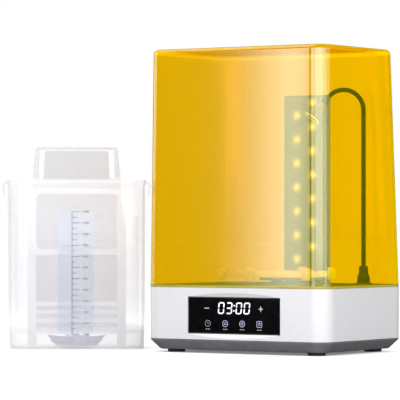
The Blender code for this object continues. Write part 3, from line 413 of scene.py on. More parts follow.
def rounded_outline(width, depth, front_corner, rear_corner, middle_y=0.0, segments=12):
    """Points round a rectangle with round corners, anticlockwise from the right front corner."""
    corners = ((width / 2, -depth / 2, front_corner, -90.0, -1, 1),
               (width / 2, depth / 2, rear_corner, 0.0, -1, -1),
               (-width / 2, depth / 2, rear_corner, 90.0, 1, -1),
               (-width / 2, -depth / 2, front_corner, 180.0, 1, 1))
    points = []
    for x, y, radius, start, side_x, side_y in corners:
        for step in range(segments + 1):
            angle = math.radians(start + 90.0 * step / segments)
            points.append((x + side_x * radius + radius * math.cos(angle),
                           y + side_y * radius + radius * math.sin(angle) + middle_y))
    return points


def add_rings(shape, sections, segments):
    """Level rings of vertices from (z, width, depth, front corner, rear corner, middle y)."""
    rings = []
    for z, width, depth, front_corner, rear_corner, middle_y in sections:
        outline = rounded_outline(width, depth, front_corner, rear_corner, middle_y, segments)
        rings.append([shape.verts.new((x, y, z)) for x, y in outline])
    return rings


def bridge(shape, low, high):
    for i in range(len(low)):
        j = (i + 1) % len(low)
        shape.faces.new((low[i], low[j], high[j], high[i]))


def lofted(sections, segments=12):
    shape = bmesh.new()
    rings = add_rings(shape, sections, segments)
    for low, high in zip(rings, rings[1:]):
        bridge(shape, low, high)
    shape.faces.new(list(reversed(rings[0])))
    shape.faces.new(rings[-1])
    return shape


def cup(outer, inner, segments=14):
    """A closed wall between two skins, both given from the open end to the closed end.

    The inner skin takes the piece's second material."""
    shape = bmesh.new()
    skins = [add_rings(shape, sections, segments) for sections in (outer, inner)]
    for number, rings in enumerate(skins):
        before = len(shape.faces)
        for low, high in zip(rings, rings[1:]):
            bridge(shape, low, high)
        shape.faces.new(rings[-1])
        shape.faces.ensure_lookup_table()
        for face in shape.faces[before:]:
            face.material_index = number
    bridge(shape, skins[0][0], skins[1][0])
    return shape


def turned(profile, steps=48, closed=False, wave=None):
    """A turned shape from (radius, height) points; wave, if given, changes each radius."""
    shape = bmesh.new()
    rings = []
    for radius, height in profile:
        if radius < 1e-7:
            rings.append([shape.verts.new((0.0, 0.0, height))])
            continue
        ring = []
        for step in range(steps):
            angle = math.tau * step / steps
            reach = wave(radius, height, angle) if wave else radius
            ring.append(shape.verts.new((reach * math.cos(angle), reach * math.sin(angle), height)))
        rings.append(ring)
    pairs = list(zip(rings, rings[1:]))
    if closed:
        pairs.append((rings[-1], rings[0]))
    for upper, lower in pairs:
        for i in range(steps):
            j = (i + 1) % steps
            corners = (upper[i % len(upper)], lower[i % len(lower)],
                       lower[j % len(lower)], upper[j % len(upper)])
            face = list(dict.fromkeys(corners))
            if len(face) > 2:
                shape.faces.new(face)
    return shape


def block(size, edge=0.0005, segments=2, corner=0.0):
    """A box with its upright edges rounded by corner and all the others by edge."""
    shape = bmesh.new()
    bmesh.ops.create_cube(shape, size=1.0)
    bmesh.ops.scale(shape, vec=size, verts=shape.verts)
    if corner:
        upright = [e for e in shape.edges if abs(e.verts[0].co.z - e.verts[1].co.z) > size[2] / 2]
        bmesh.ops.bevel(shape, geom=upright, offset=corner, segments=6, profile=0.5, affect="EDGES")
    if edge:
        sharp = [e for e in shape.edges if e.calc_face_angle(0.0) > math.radians(60)]
        bmesh.ops.bevel(shape, geom=sharp, offset=edge, segments=segments, profile=0.5,
                        affect="EDGES")
    return shape


def prism(outline, low, high):
    """A plan outline raised from low to high."""
    shape = bmesh.new()
    bottom = [shape.verts.new((x, y, low)) for x, y in outline]
    top = [shape.verts.new((x, y, high)) for x, y in outline]
    bridge(shape, bottom, top)
    shape.faces.new(list(reversed(bottom)))
    shape.faces.new(top)
    return shape


def from_curve(curve):
    """The mesh that a curve or a text makes, as a bmesh."""
    item = bpy.data.objects.new("outline", curve)
    bpy.context.scene.collection.objects.link(item)
    bpy.context.view_layer.update()
    mesh = bpy.data.meshes.new_from_object(
        item.evaluated_get(bpy.context.evaluated_depsgraph_get()))
    shape = bmesh.new()
    shape.from_mesh(mesh)
    bmesh.ops.remove_doubles(shape, verts=shape.verts, dist=0.00001)
    bpy.data.objects.remove(item, do_unlink=True)
    bpy.data.meshes.remove(mesh)
    bpy.data.curves.remove(curve)
    return shape


def flat_plate(outlines, thickness, edge=0.0005):
    """A plate with softened edges, standing up and facing -Y: its rim first, then its holes."""
    curve = bpy.data.curves.new("outline", "CURVE")
    curve.dimensions = "2D"
    curve.fill_mode = "BOTH"
    curve.extrude = thickness / 2 - edge
    curve.bevel_depth = edge
    curve.bevel_resolution = 1
    curve.offset = -edge
    for outline in outlines:
        spline = curve.splines.new("POLY")
        spline.points.add(len(outline) - 1)
        for point, (x, y) in zip(spline.points, outline):
            point.co = (x, y, 0.0, 1.0)
        spline.use_cyclic_u = True
    shape = from_curve(curve)
    shape.transform(UPRIGHT)
    return shape


def lettered(text, size, depth):
    """Raised figures that stand up and face -Y."""
    curve = bpy.data.curves.new("figures", "FONT")
    curve.body = text
    curve.size = size
    curve.extrude = depth / 2
    curve.align_x = "CENTER"
    curve.align_y = "CENTER"
    curve.resolution_u = 3
    shape = from_curve(curve)
    shape.transform(UPRIGHT)
    return shape


def carved(shape, cutters=(), joins=()):
    """What is left of a shape after adding the joins and taking away the cutters."""
    holder = []

    def as_object(source):
        bmesh.ops.recalc_face_normals(source, faces=source.faces)
        mesh = bpy.data.meshes.new("carving")
        source.to_mesh(mesh)
        source.free()
        mesh.materials.append(None)
        mesh.materials.append(None)
        item = bpy.data.objects.new("carving", mesh)
        bpy.context.scene.collection.objects.link(item)
        holder.append(item)
        return item

    target = as_object(shape)
    tools = [("UNION", tool) for tool in joins] + [("DIFFERENCE", tool) for tool in cutters]
    for operation, tool in tools:
        change = target.modifiers.new("carve", "BOOLEAN")
        change.operation = operation
        change.solver = "EXACT"
        change.object = as_object(tool)
    bpy.context.view_layer.update()
    mesh = bpy.data.meshes.new_from_object(
        target.evaluated_get(bpy.context.evaluated_depsgraph_get()))
    result = bmesh.new()
    result.from_mesh(mesh)
    bmesh.ops.remove_doubles(result, verts=result.verts, dist=0.000005)
    for item in holder:
        used = item.data
        bpy.data.objects.remove(item, do_unlink=True)
        bpy.data.meshes.remove(used)
    bpy.data.meshes.remove(mesh)
    return result


def piece(name, shape, paint, at, body, replaces=(), sharp=35.0, bevel=0.0, inside=None):
    """Make a finished piece of a shape and let it ride on its CAD body."""
    bmesh.ops.recalc_face_normals(shape, faces=shape.faces)
    mesh = bpy.data.meshes.new(name)
    shape.to_mesh(mesh)
    shape.free()
    mesh.materials.append(paint)
    mesh.materials.append(inside or paint)
    mesh.shade_smooth()
    mesh.set_sharp_from_angle(angle=math.radians(sharp))
    item = bpy.data.objects.new(name, mesh)
    item.matrix_world = at
    bpy.context.scene.collection.objects.link(item)
    if bevel:
        soften = item.modifiers.new("edges", "BEVEL")
        soften.width = bevel
        soften.segments = 2
        soften.limit_method = "ANGLE"
        soften.angle_limit = math.radians(40.0)
        soften.use_clamp_overlap = True
    item.modifiers.new("flat_faces", "WEIGHTED_NORMAL").keep_sharp = True
    if body:
        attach(item, body)
    if replaces:
        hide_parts(*replaces)
    return item


# ---------------------------------------------------------------- base
def base_size():
    low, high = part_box("base_housing")
    return high.x - low.x, high.y - low.y


BASE_WIDTH, BASE_DEPTH = base_size()


def base_section(z, inset):
    corner = BASE_CORNER - inset
    return (z, BASE_WIDTH - 2 * inset, BASE_DEPTH - 2 * inset, corner, corner, 0.0)


def rounded_edge(z_start, z_end, inset, radius, steps=5):
    """Sections that turn a wall over through a quarter circle, up or down from z_start."""
    direction = 1.0 if z_end > z_start else -1.0
    result = []
    for step in range(steps + 1):
        angle = math.pi / 2 * step / steps
        result.append(base_section(z_start + direction * radius * math.sin(angle),
                                   inset + radius * (1.0 - math.cos(angle))))
    return result


def panel_scoop():
    """The shallow lens-shaped hollow that the panel lies in."""
    lens = bmesh.new()
    bmesh.ops.create_uvsphere(lens, u_segments=96, v_segments=48, radius=1.0)
    belly = 0.030
    depth = 0.003
    share = math.sqrt(1.0 - ((belly - depth) / belly) ** 2)
    bmesh.ops.scale(lens, vec=(0.178 / share, belly, 0.0437 / share), verts=lens.verts)
    moved(lens, PANEL_X, -BASE_DEPTH / 2 - belly + depth, PANEL_Z)
    for side in (-1, 1):
        edge = PANEL_X + side * PANEL_WIDTH / 2
        bmesh.ops.bisect_plane(lens, geom=lens.verts[:] + lens.edges[:] + lens.faces[:],
                               plane_co=(edge, 0.0, 0.0), plane_no=(side, 0.0, 0.0),
                               clear_outer=True)
        rim = [e for e in lens.edges if e.is_boundary]
        bmesh.ops.holes_fill(lens, edges=rim)
    # The hollow's faces take the second material, its painted shade.
    for face in lens.faces:
        face.material_index = 1
    return lens


def build_housing():
    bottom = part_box("base_housing")[0].z
    cable_y = middle("tower_cap").y - MACHINE.translation.y
    outer = list(reversed(rounded_edge(bottom + 0.0012, bottom, 0.0, 0.0012, 2)))
    outer += rounded_edge(LEDGE_Z - 0.0022, LEDGE_Z, 0.0, 0.0022, 4)
    cutters = [lofted([base_section(bottom - 0.01, WALL), base_section(DECK_Z - 0.008, WALL)]),
               panel_scoop(),
               moved(block((PANEL_WIDTH + 0.0008, 0.020, PANEL_HEIGHT + 0.0008), 0.0),
                     PANEL_X, -BASE_DEPTH / 2, PANEL_Z),
               moved(turned(mm((0, 20), (5, 20), (5, 0), (0, 0)), 32), TOWER_X, cable_y,
                     DECK_Z - 0.01)]
    jack = turned(mm((0, 12), (8.8, 12), (8.8, -1.5), (11.2, -4.5), (0, -4.5)), 32)
    jack.transform(Matrix.Translation((JACK_X, BASE_DEPTH / 2 - 0.003, REAR_ROW_Z)) @ UPRIGHT)
    cutters.append(jack)
    cutters.append(moved(block((0.0268, 0.016, 0.0208), 0.0), SWITCH_X, BASE_DEPTH / 2, REAR_ROW_Z))
    for row in range(-3, 4):
        height = row * GRILLE_PITCH
        half = math.sqrt(GRILLE_RADIUS ** 2 - height ** 2)
        slot = block((0.0035, 2 * half, 0.016), 0.0, corner=0.0017)
        slot.transform(Matrix.Translation((FAN_X, BASE_DEPTH / 2, FAN_Z + height)) @ UPRIGHT
                       @ Matrix.Rotation(math.pi / 2, 4, "Z"))
        cutters.append(slot)
    plinth_inset = 0.0045
    plinth = lofted([base_section(LEDGE_Z - 0.002, plinth_inset)]
                    + rounded_edge(DECK_Z - 0.001, DECK_Z, plinth_inset, 0.001, 3))
    shape = carved(lofted(outer, 30), cutters, [plinth])
    piece("housing_shell", shape, WHITE, MACHINE, "base", ("base_housing",), 5.0,
          inside=SCOOP_SHADE)
    # A thin dark sheet over the deck: painted shade, not a part of the machine.
    shade_sheet_inset = 0.006
    shade_sheet = lofted([base_section(DECK_Z + lift, shade_sheet_inset) for lift in (0.00002, 0.00026)], 30)
    piece("deck_shade_sheet", shade_sheet, DECK_SHADE, MACHINE, "base")


def build_skirt():
    low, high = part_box("bottom_tray")
    inset = 0.018
    side = 0.0042
    edge = [(low.z, inset + 0.004), (low.z + 0.0008, inset + 0.0014), (low.z + 0.0028, inset - 0.0012)]
    outer = [base_section(z, amount) for z, amount in edge]
    outer += [base_section(high.z - 0.0022, 0.0002), base_section(high.z - 0.0004, 0.0),
              base_section(high.z, 0.0012)]
    inner = [base_section(low.z + WALL, inset + 0.0025), base_section(high.z, side)]
    shape = cup(list(reversed(outer)), list(reversed(inner)), 16)
    piece("skirt_tray", shape, SKIRT, MACHINE, "base", ("bottom_tray",))


def build_feet():
    profile = mm((0, 5.7), (16.4, 5.7), (17, 5.2), (17, 1.4), (16.3, 0.3), (15.2, 0), (12, 0),
                 (11.2, 0.8), (9.8, 0.8), (9, 0), (5, 0), (4.4, 0.8), (0, 0.8))
    for spot in ("front_left", "front_right", "rear_left", "rear_right"):
        node = f"foot_{spot}"
        piece(f"rubber_foot_{spot}", turned(profile), RUBBER, upright_at(node), "base",
              (node,))


# ---------------------------------------------------------------- touch panel
def segment_bar(length, thick):
    half = thick / 2
    return [(-length / 2, 0.0), (-length / 2 + half, -half), (length / 2 - half, -half),
            (length / 2, 0.0), (length / 2 - half, half), (-length / 2 + half, half)]


SEGMENTS = {"0": "abcdef", "3": "abcdg"}


def digit_shape(figure, width, height, thick):
    """A seven-segment figure standing up, its middle at the origin."""
    gap = 0.0004
    run = width - thick - 2 * gap
    rise = height / 2 - thick / 2 - 2 * gap
    side = width / 2 - thick / 2
    level = height / 4 - thick / 8
    spots = {"a": (0.0, height / 2 - thick / 2, False), "g": (0.0, 0.0, False),
             "d": (0.0, -height / 2 + thick / 2, False), "f": (-side, level, True),
             "b": (side, level, True), "e": (-side, -level, True), "c": (side, -level, True)}
    shape = bmesh.new()
    for letter in SEGMENTS[figure]:
        x, z, upright = spots[letter]
        bar = segment_bar(rise if upright else run, thick)
        if upright:
            bar = [(v, u) for u, v in bar]
        solid = prism([(x + u, z + v) for u, v in bar], -0.0001, 0.0001)
        solid.transform(UPRIGHT)
        add_shape(shape, solid)
    return shape


def lean(shape, amount):
    for vert in shape.verts:
        vert.co.x += vert.co.z * amount
    return shape


def ring_plate(radius, thick, steps=40):
    outer = [(radius * math.cos(math.tau * i / steps), radius * math.sin(math.tau * i / steps))
             for i in range(steps)]
    inner = [(x * (radius - thick) / radius, y * (radius - thick) / radius) for x, y in outer]
    return flat_plate([outer, inner], 0.0002, 0.00002)


def stroke(x0, z0, x1, z1, thick):
    """A short straight mark between two points of the panel's face."""
    start, end = Vector((x0, z0)), Vector((x1, z1))
    heading = (end - start).normalized()
    across = Vector((-heading.y, heading.x)) * thick / 2
    corners = [start - across, end - across, end + across, start + across]
    solid = prism([tuple(corner) for corner in corners], -0.0001, 0.0001)
    solid.transform(UPRIGHT)
    return solid


def clock_icon(radius):
    return together(ring_plate(radius, 0.0007), stroke(0.0, 0.0, 0.0, radius * 0.62, 0.0006),
                    stroke(0.0, 0.0, radius * 0.45, -radius * 0.2, 0.0006))


def wave_icon(radius):
    shape = ring_plate(radius, 0.0007)
    for row in (-0.0013, 0.0013):
        points = [(-0.0032 + 0.0064 * i / 8, row + 0.0006 * math.sin(math.tau * i / 4))
                  for i in range(9)]
        for (x0, z0), (x1, z1) in zip(points, points[1:]):
            add_shape(shape, stroke(x0, z0, x1, z1, 0.0006))
    return shape


def sun_icon(radius):
    shape = ring_plate(radius, 0.0007)
    add_shape(shape, ring_plate(radius * 0.30, 0.0006, 20))
    for ray in range(8):
        angle = math.tau * ray / 8
        near, far = radius * 0.44, radius * 0.66
        add_shape(shape, stroke(near * math.cos(angle), near * math.sin(angle),
                                far * math.cos(angle), far * math.sin(angle), 0.0005))
    return shape


def square_icon(radius):
    outer = rounded_outline(1.9 * radius, 1.9 * radius, 0.0018, 0.0018, 0.0, 5)
    inner = rounded_outline(1.9 * radius - 0.0014, 1.9 * radius - 0.0014, 0.0012, 0.0012, 0.0, 5)
    border = flat_plate([outer, inner], 0.0002, 0.00002)
    return together(border, ring_plate(radius * 0.42, 0.0006, 24),
                    stroke(0.0, radius * 0.2, 0.0, radius * 0.62, 0.0006))


def build_panel():
    low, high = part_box("control_panel")
    front = low.y - MACHINE.translation.y
    outline = rounded_outline(PANEL_WIDTH, PANEL_HEIGHT, 0.0028, 0.0028, 0.0, 6)
    glass = moved(flat_plate([outline], high.y - low.y, 0.0004), PANEL_X,
                  front + (high.y - low.y) / 2, PANEL_Z)
    piece("panel_glass", glass, BLACK_GLASS, MACHINE, "base", ("control_panel",))
    inner = rounded_outline(PANEL_WIDTH - 0.0016, PANEL_HEIGHT - 0.0016, 0.0022, 0.0022, 0.0, 6)
    line = rounded_outline(PANEL_WIDTH - 0.0028, PANEL_HEIGHT - 0.0028, 0.0018, 0.0018, 0.0, 6)
    border = moved(flat_plate([inner, line], 0.0001, 0.00001), PANEL_X, front, PANEL_Z)
    piece("panel_border", border, GLASS_EDGE, MACHINE, "base")

    face = front - 0.00002
    width, height, thick = 0.0138, 0.0225, 0.0025
    time = bmesh.new()
    for figure, offset in zip("0300", (-0.0290, -0.0110, 0.0110, 0.0290)):
        add_shape(time, moved(lean(digit_shape(figure, width, height, thick), 0.10), offset))
    for dot in (-1, 1):
        spot = block((0.0026, 0.0002, 0.0026), 0.0)
        add_shape(time, moved(lean(moved(spot, 0.0, 0.0, dot * 0.0050), 0.10)))
    piece("time_figures", moved(time, 0.0024, face, 0.0882), DISPLAY, MACHINE, "base",
          sharp=20.0)
    keys = stroke(-0.0052, 0.0, 0.0052, 0.0, 0.0008)
    moved(keys, -0.0596, 0.0, 0.0875)
    plus = together(stroke(-0.0048, 0.0, 0.0048, 0.0, 0.0008),
                    stroke(0.0, -0.0048, 0.0, 0.0048, 0.0008))
    add_shape(keys, moved(plus, 0.0627, 0.0, 0.0875))
    piece("step_keys", moved(keys, 0.0, face), DISPLAY, MACHINE, "base", sharp=20.0)
    radius = 0.0062
    row_z = 0.0584
    icons = (("clock", clock_icon, -0.0573, DISPLAY_DIM),
             ("wave", wave_icon, -0.0178, DISPLAY_TINT),
             ("sun", sun_icon, 0.0208, DISPLAY_TINT),
             ("square", square_icon, 0.0595, DISPLAY_TINT))
    for name, maker, x, paint in icons:
        piece(f"key_{name}", moved(maker(radius), x, face, row_z), paint, MACHINE, "base",
              sharp=20.0)
        underline = bmesh.new()
        for mark in (-1, 1):
            add_shape(underline, stroke(mark * 0.0048, 0.0, mark * 0.0008, 0.0, 0.0013))
        piece(f"key_marks_{name}", moved(underline, x, face, 0.0475), DISPLAY_DIM, MACHINE, "base",
              sharp=20.0)


# ---------------------------------------------------------------- rear fittings
def build_rear():
    rear = BASE_DEPTH / 2
    bezel = carved(moved(block((0.0260, 0.0182, 0.0200), 0.0004), 0.0, -0.0091, 0.0),
                   [moved(block((0.0200, 0.0150, 0.0150), 0.0003), 0.0, -0.0037, 0.0)])
    flange_out = rounded_outline(0.0300, 0.0240, 0.002, 0.002, 0.0, 5)
    flange_in = rounded_outline(0.0204, 0.0154, 0.001, 0.001, 0.0, 5)
    flange = moved(flat_plate([flange_out, flange_in], 0.0012, 0.0004), 0.0, 0.0006, 0.0)
    shape = moved(together(bezel, flange), SWITCH_X, rear, REAR_ROW_Z)
    piece("switch_bezel", shape, BLACK, MACHINE, "base", ("switch_frame",))
    at = Matrix.Translation(middle("power_rocker")) @ Matrix.Rotation(ROCKER_TILT, 4, "X")
    side = mm((-6.3, -2.2), (0, -0.8), (6.3, -2.2), (6.3, 2.1), (0, 1.1), (-6.3, 2.1))
    rocker = prism(side, -0.0090, 0.0090)
    rocker.transform(Matrix.Rotation(math.pi / 2, 4, "Y"))
    rocker.transform(UPRIGHT)
    piece("rocker_cap", rocker, BLACK, at, "rocker", ("power_rocker",),
          bevel=0.0003)


# ---------------------------------------------------------------- turntable and drive
def build_turntable():
    seat = mm((0, 146.8), (3, 146.8), (4, 146), (4, 136.2), (4.6, 135.8), (31, 135.8), (33, 135.5),
              (44, 134.6), (45, 134), (45, 131.8), (0, 131.8))
    piece("drive_boss", turned(seat, 64), GREY, DRIVE, "base", ("drive_seat",))
    hub = mm((4.3, 147.8), (33.5, 147.8), (34, 147.4), (34, 139.8), (33.7, 139.5), (30.3, 139.5),
             (30, 139.8), (30, 142), (12, 142), (12, 136.4), (11.7, 136.2), (4.6, 136.2),
             (4.3, 136.5))
    piece("turntable_boss", turned(hub, 64, closed=True), GREY, DRIVE, "turntable",
          ("turntable_hub",))
    plate = [(0.0, 0.1517), (0.0200, 0.1517)]
    for ring in range(1, 9):
        radius = 0.0200 + ring * 0.0088
        plate += [(radius - 0.0006, 0.1517), (radius - 0.0003, 0.1521), (radius + 0.0003, 0.1521),
                  (radius + 0.0006, 0.1517)]
    plate += mm((95.8, 151.7), (96.5, 151.1), (96.5, 148.7), (95.9, 148.1), (0, 148.1))
    piece("turntable_disc", turned(plate, 96), MILKY, DRIVE, "turntable",
          ("turntable_plate",))
    inner = 0.0968
    band = [(inner, 0.1568), (inner + 0.0005, 0.1572), (0.1044, 0.1572), (0.1050, 0.1566),
            (0.1050, 0.1466), (0.1044, 0.1460), (inner + 0.0005, 0.1460), (inner, 0.1464)]
    ring_shape = turned(band, 96, closed=True)
    for pad in range(PAD_COUNT):
        angle = PAD_FIRST + math.tau * pad / PAD_COUNT
        lug = block((0.0150, 0.0150, 0.0240), 0.0012, 3)
        add_shape(ring_shape, lug, Matrix.Rotation(angle, 4, "Z")
                  @ Matrix.Translation((0.1065, 0.0, 0.1522)))
        for rib in (-0.0035, 0.0, 0.0035):
            bar = block((0.0006, 0.0014, 0.0200), 0.0002, 1)
            add_shape(ring_shape, bar, Matrix.Rotation(angle, 4, "Z")
                      @ Matrix.Translation((0.1141, rib, 0.1522)))
    piece("turntable_ring", ring_shape, MILKY, DRIVE, "turntable",
          ("turntable_rim",))


# ---------------------------------------------------------------- lamp tower
def build_tower():
    low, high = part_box("tower_housing")
    half_width = (high.x - low.x) / 2
    half_depth = (high.y - low.y) / 2
    middle_y = (low.y + high.y) / 2 - MACHINE.translation.y
    inner_x = half_width - 0.003
    back = half_depth - 0.0025
    radius = 0.003
    round_right = [(half_width - radius + radius * math.cos(math.radians(a)),
                    half_depth - radius + radius * math.sin(math.radians(a)))
                   for a in range(0, 91, 15)]
    round_left = [(-x, y) for x, y in reversed(round_right)]
    ribs = []
    for x in (0.022, -0.022):
        ribs += [(x + 0.0010, back), (x + 0.0010, back - 0.0025), (x - 0.0010, back - 0.0025),
                 (x - 0.0010, back)]
    outline = [(inner_x, -half_depth), (half_width, -half_depth)] + round_right + round_left
    outline += [(-half_width, -half_depth), (-inner_x, -half_depth), (-inner_x, back)]
    outline += list(reversed(ribs)) + [(inner_x, back)]
    case = moved(prism(outline, low.z, high.z), TOWER_X, middle_y)
    piece("tower_case", case, GREY, MACHINE, "base", ("tower_housing",),
          bevel=0.0004)
    # The window carries the painted glow round the LEDs.
    low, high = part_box("tower_cover")
    spot = (low + high) / 2 - MACHINE.translation
    window = moved(block(high - low, 0.0006, 3), spot.x, spot.y, spot.z)
    piece("tower_window", window, DIFFUSER, MACHINE, "base", ("tower_cover",))
    low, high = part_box("tower_cap")
    spot = (low + high) / 2 - MACHINE.translation
    cap = moved(block(high - low, 0.0010, 3, corner=0.003), spot.x, spot.y, spot.z)
    piece("tower_lid", cap, GREY, MACHINE, "base", ("tower_cap",))
    for side, column in (("left", -LED_COLUMN), ("right", LED_COLUMN)):
        low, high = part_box(f"led_board_{side}")
        back_y = high.y - MACHINE.translation.y
        x = TOWER_X + column
        strip = moved(block((0.022, 0.0016, high.z - low.z), 0.0002, 1), x, back_y - 0.0008,
                      (low.z + high.z) / 2)
        lenses = bmesh.new()
        for led in range(LED_COUNT):
            z = LED_FIRST[side] + led * LED_PITCH
            lens = turned(mm((0, 1.9), (1.2, 1.8), (2.2, 1.4), (2.8, 0.8), (3.1, 0), (0, 0)), 24)
            lens.transform(UPRIGHT)
            add_shape(lenses, moved(lens, x, back_y - 0.0017, z))
            chip = block((0.0070, 0.0004, 0.0070), 0.0001, 1)
            add_shape(strip, moved(chip, x, back_y - 0.0017, z))
            for pad in (-1, 1):
                resistor = block((0.0016, 0.0006, 0.0032), 0.0001, 1)
                add_shape(strip, moved(resistor, x + pad * 0.0070, back_y - 0.0018, z + 0.010))
        piece(f"led_strip_{side}", strip, LED_BOARD, MACHINE, "base", (f"led_board_{side}",))
        piece(f"led_lenses_{side}", lenses, LED_GLOW, MACHINE, "base")


# ---------------------------------------------------------------- gooseneck lamp
def neck_path():
    """Close points along the neck, with the ribs' radii, in the lamp's own upright plane.

    The neck narrows to a point at its end, so the lamp's collar can tilt round it."""
    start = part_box("gooseneck_boot")[1].z - 0.002
    straight = NECK_STRAIGHT_TOP - start
    bend = NECK_BEND * (math.pi - NECK_END)
    total = straight + bend
    count = int(total / NECK_RIB) * 4
    points = []
    for step in range(count + 1):
        run = total * step / count
        if run < straight:
            spot = Vector((0.0, 0.0, start + run))
            heading = Vector((0.0, 0.0, 1.0))
        else:
            angle = math.pi - (run - straight) / NECK_BEND
            spot = Vector((NECK_BEND + NECK_BEND * math.cos(angle), 0.0,
                           NECK_STRAIGHT_TOP + NECK_BEND * math.sin(angle)))
            heading = Vector((math.sin(angle), 0.0, -math.cos(angle)))
        radius = NECK_RADIUS - (0.0004 if step % 4 == 0 else 0.0)
        radius = min(radius, 0.0003 + 4.0 * (total - run))
        points.append((spot, heading, radius))
    return points


def swept(path, sides=20):
    """A round tube along (point, heading, radius) steps that lie in the upright plane y = 0."""
    shape = bmesh.new()
    rings = []
    for spot, heading, radius in path:
        out = Vector((0.0, 1.0, 0.0)).cross(heading)
        ring = []
        for side in range(sides):
            angle = math.tau * side / sides
            offset = out * math.cos(angle) + Vector((0.0, 1.0, 0.0)) * math.sin(angle)
            ring.append(shape.verts.new(spot + offset * radius))
        rings.append(ring)
    for low, high in zip(rings, rings[1:]):
        bridge(shape, low, high)
    shape.faces.new(list(reversed(rings[0])))
    shape.faces.new(rings[-1])
    return shape


def build_lamp():
    grommet = mm((12.8, 133.8), (13.2, 134.1), (14.8, 134), (15.8, 133.4), (16.5, 132.4),
                 (16.5, 131.8), (12.8, 131.8))
    piece("gooseneck_grommet", turned(grommet, 48, closed=True), BLACK, LAMP, "base",
          ("lamp_socket",))

    def flutes(radius, height, angle):
        if 0.1330 < height < 0.1500:
            return radius - 0.0006 * max(0.0, math.cos(12 * angle)) ** 2
        return radius

    boot = mm((0, 166.5), (7.4, 166.5), (8.2, 166), (8.8, 165), (9.1, 156), (9.3, 151.2),
              (10, 149.5), (11.2, 147.8), (11.9, 146.2), (12.2, 143), (12.4, 138), (12.6, 134.5),
              (12.6, 132.2), (0, 132.2))
    piece("gooseneck_foot", turned(boot, 96, wave=flutes), RUBBER, LAMP, "lamp_stem",
          ("gooseneck_boot",))
    sleeve = piece("gooseneck_sleeve", swept(neck_path()), RUBBER, LAMP, None,
                   ("gooseneck_stem", "gooseneck_arch"), sharp=60.0)
    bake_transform(sleeve)
    collar = mm((0, 15.8), (7.1, 15.8), (7.5, 15.4))
    collar += mm((7.5, 13), (7, 12.6), (6.8, 12.2), (7, 11.8), (7, 10.4), (6.4, 10), (6.2, 9.6),
                 (6.4, 9.2), (6.4, 7.8), (5.8, 7.2), (5.2, 6.2), (4.7, 4), (4.6, 1.8), (4, 1.4),
                 (0, 0.3))
    piece("lamp_collar", turned(collar, 40), RUBBER, LAMP_HEAD, "lamp_head",
          ("lamp_ferrule",))
    shade = mm((0, 17.5), (6.6, 17.5), (7.4, 18.2), (13.7, 51), (14.2, 52.8), (14.8, 53.2),
               (15.5, 53), (15.6, 52.2), (14.8, 50), (8.4, 17), (7.8, 16.2), (0, 16.1))
    piece("lamp_cone", turned(shade, 56), SHADE, LAMP_HEAD, "lamp_head",
          ("lamp_shade",))
    # A ring on the shade's open rim that carries its painted glow.
    turns = [math.tau * i / 8 for i in range(8)]
    rim = [(0.0157 + 0.0007 * math.cos(turn), 0.0526 + 0.0007 * math.sin(turn)) for turn in turns]
    piece("lamp_rim_painted_glow", turned(rim, 56, closed=True), LAMP_RIM_GLOW, LAMP_HEAD, "lamp_head")
    light = mm((0, 20.6), (2.2, 20.4), (4, 19.6), (4.8, 18.6), (5, 17.8), (0, 17.8))
    piece("lamp_emitter", turned(light, 32), LED_GLOW, LAMP_HEAD, "lamp_head", ("lamp_led",))
    lens = mm((0, 52.4), (6, 52.2), (11.8, 51.5), (13, 50.8), (13.2, 50.2), (13, 50), (0, 50))
    piece("lamp_glass", turned(lens, 48), CLEAR, LAMP_HEAD, "lamp_head",
          ("lamp_lens",))


# ---------------------------------------------------------------- hood
def build_hood():
    low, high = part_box("hood_shell")
    edge = 0.009
    straight_top = high.z - edge
    side_in, front_in, back_in = 0.004, 0.0045, 0.012
    rear_corner = 0.052
    middle_top = (front_in - back_in) / 2
    width_top = BASE_WIDTH - 2 * side_in
    depth_top = BASE_DEPTH - front_in - back_in

    def skin(wall):
        sections = [(low.z, BASE_WIDTH - 2 * wall, BASE_DEPTH - 2 * wall, BASE_CORNER - wall,
                     BASE_CORNER - wall, 0.0)]
        for step in range(7):
            angle = math.pi / 2 * step / 6
            draw_in = (edge - wall) * (1.0 - math.cos(angle)) + wall
            sections.append((straight_top + (edge - wall) * math.sin(angle),
                             width_top - 2 * draw_in, depth_top - 2 * draw_in,
                             BASE_CORNER - draw_in, rear_corner - draw_in, middle_top))
        return sections

    piece("hood_cover", cup(skin(0.0), skin(WALL), 18), AMBER, MACHINE, "hood",
          ("hood_shell",), sharp=50.0, inside=AMBER_INSIDE)
    # The band round the hood's foot carries the painted highlight of its edge.
    edge_band = bmesh.new()
    around = ((0.0, 0.00006), (0.0003, 0.0005), (0.0030, 0.0005), (0.0034, 0.00006))
    rings = add_rings(edge_band, [base_section(low.z + lift, -out) for lift, out in around], 18)
    for index, ring in enumerate(rings):
        bridge(edge_band, ring, rings[(index + 1) % len(rings)])
    piece("hood_edge_light_band", edge_band, AMBER_EDGE_LIGHT, MACHINE, "hood", sharp=50.0)


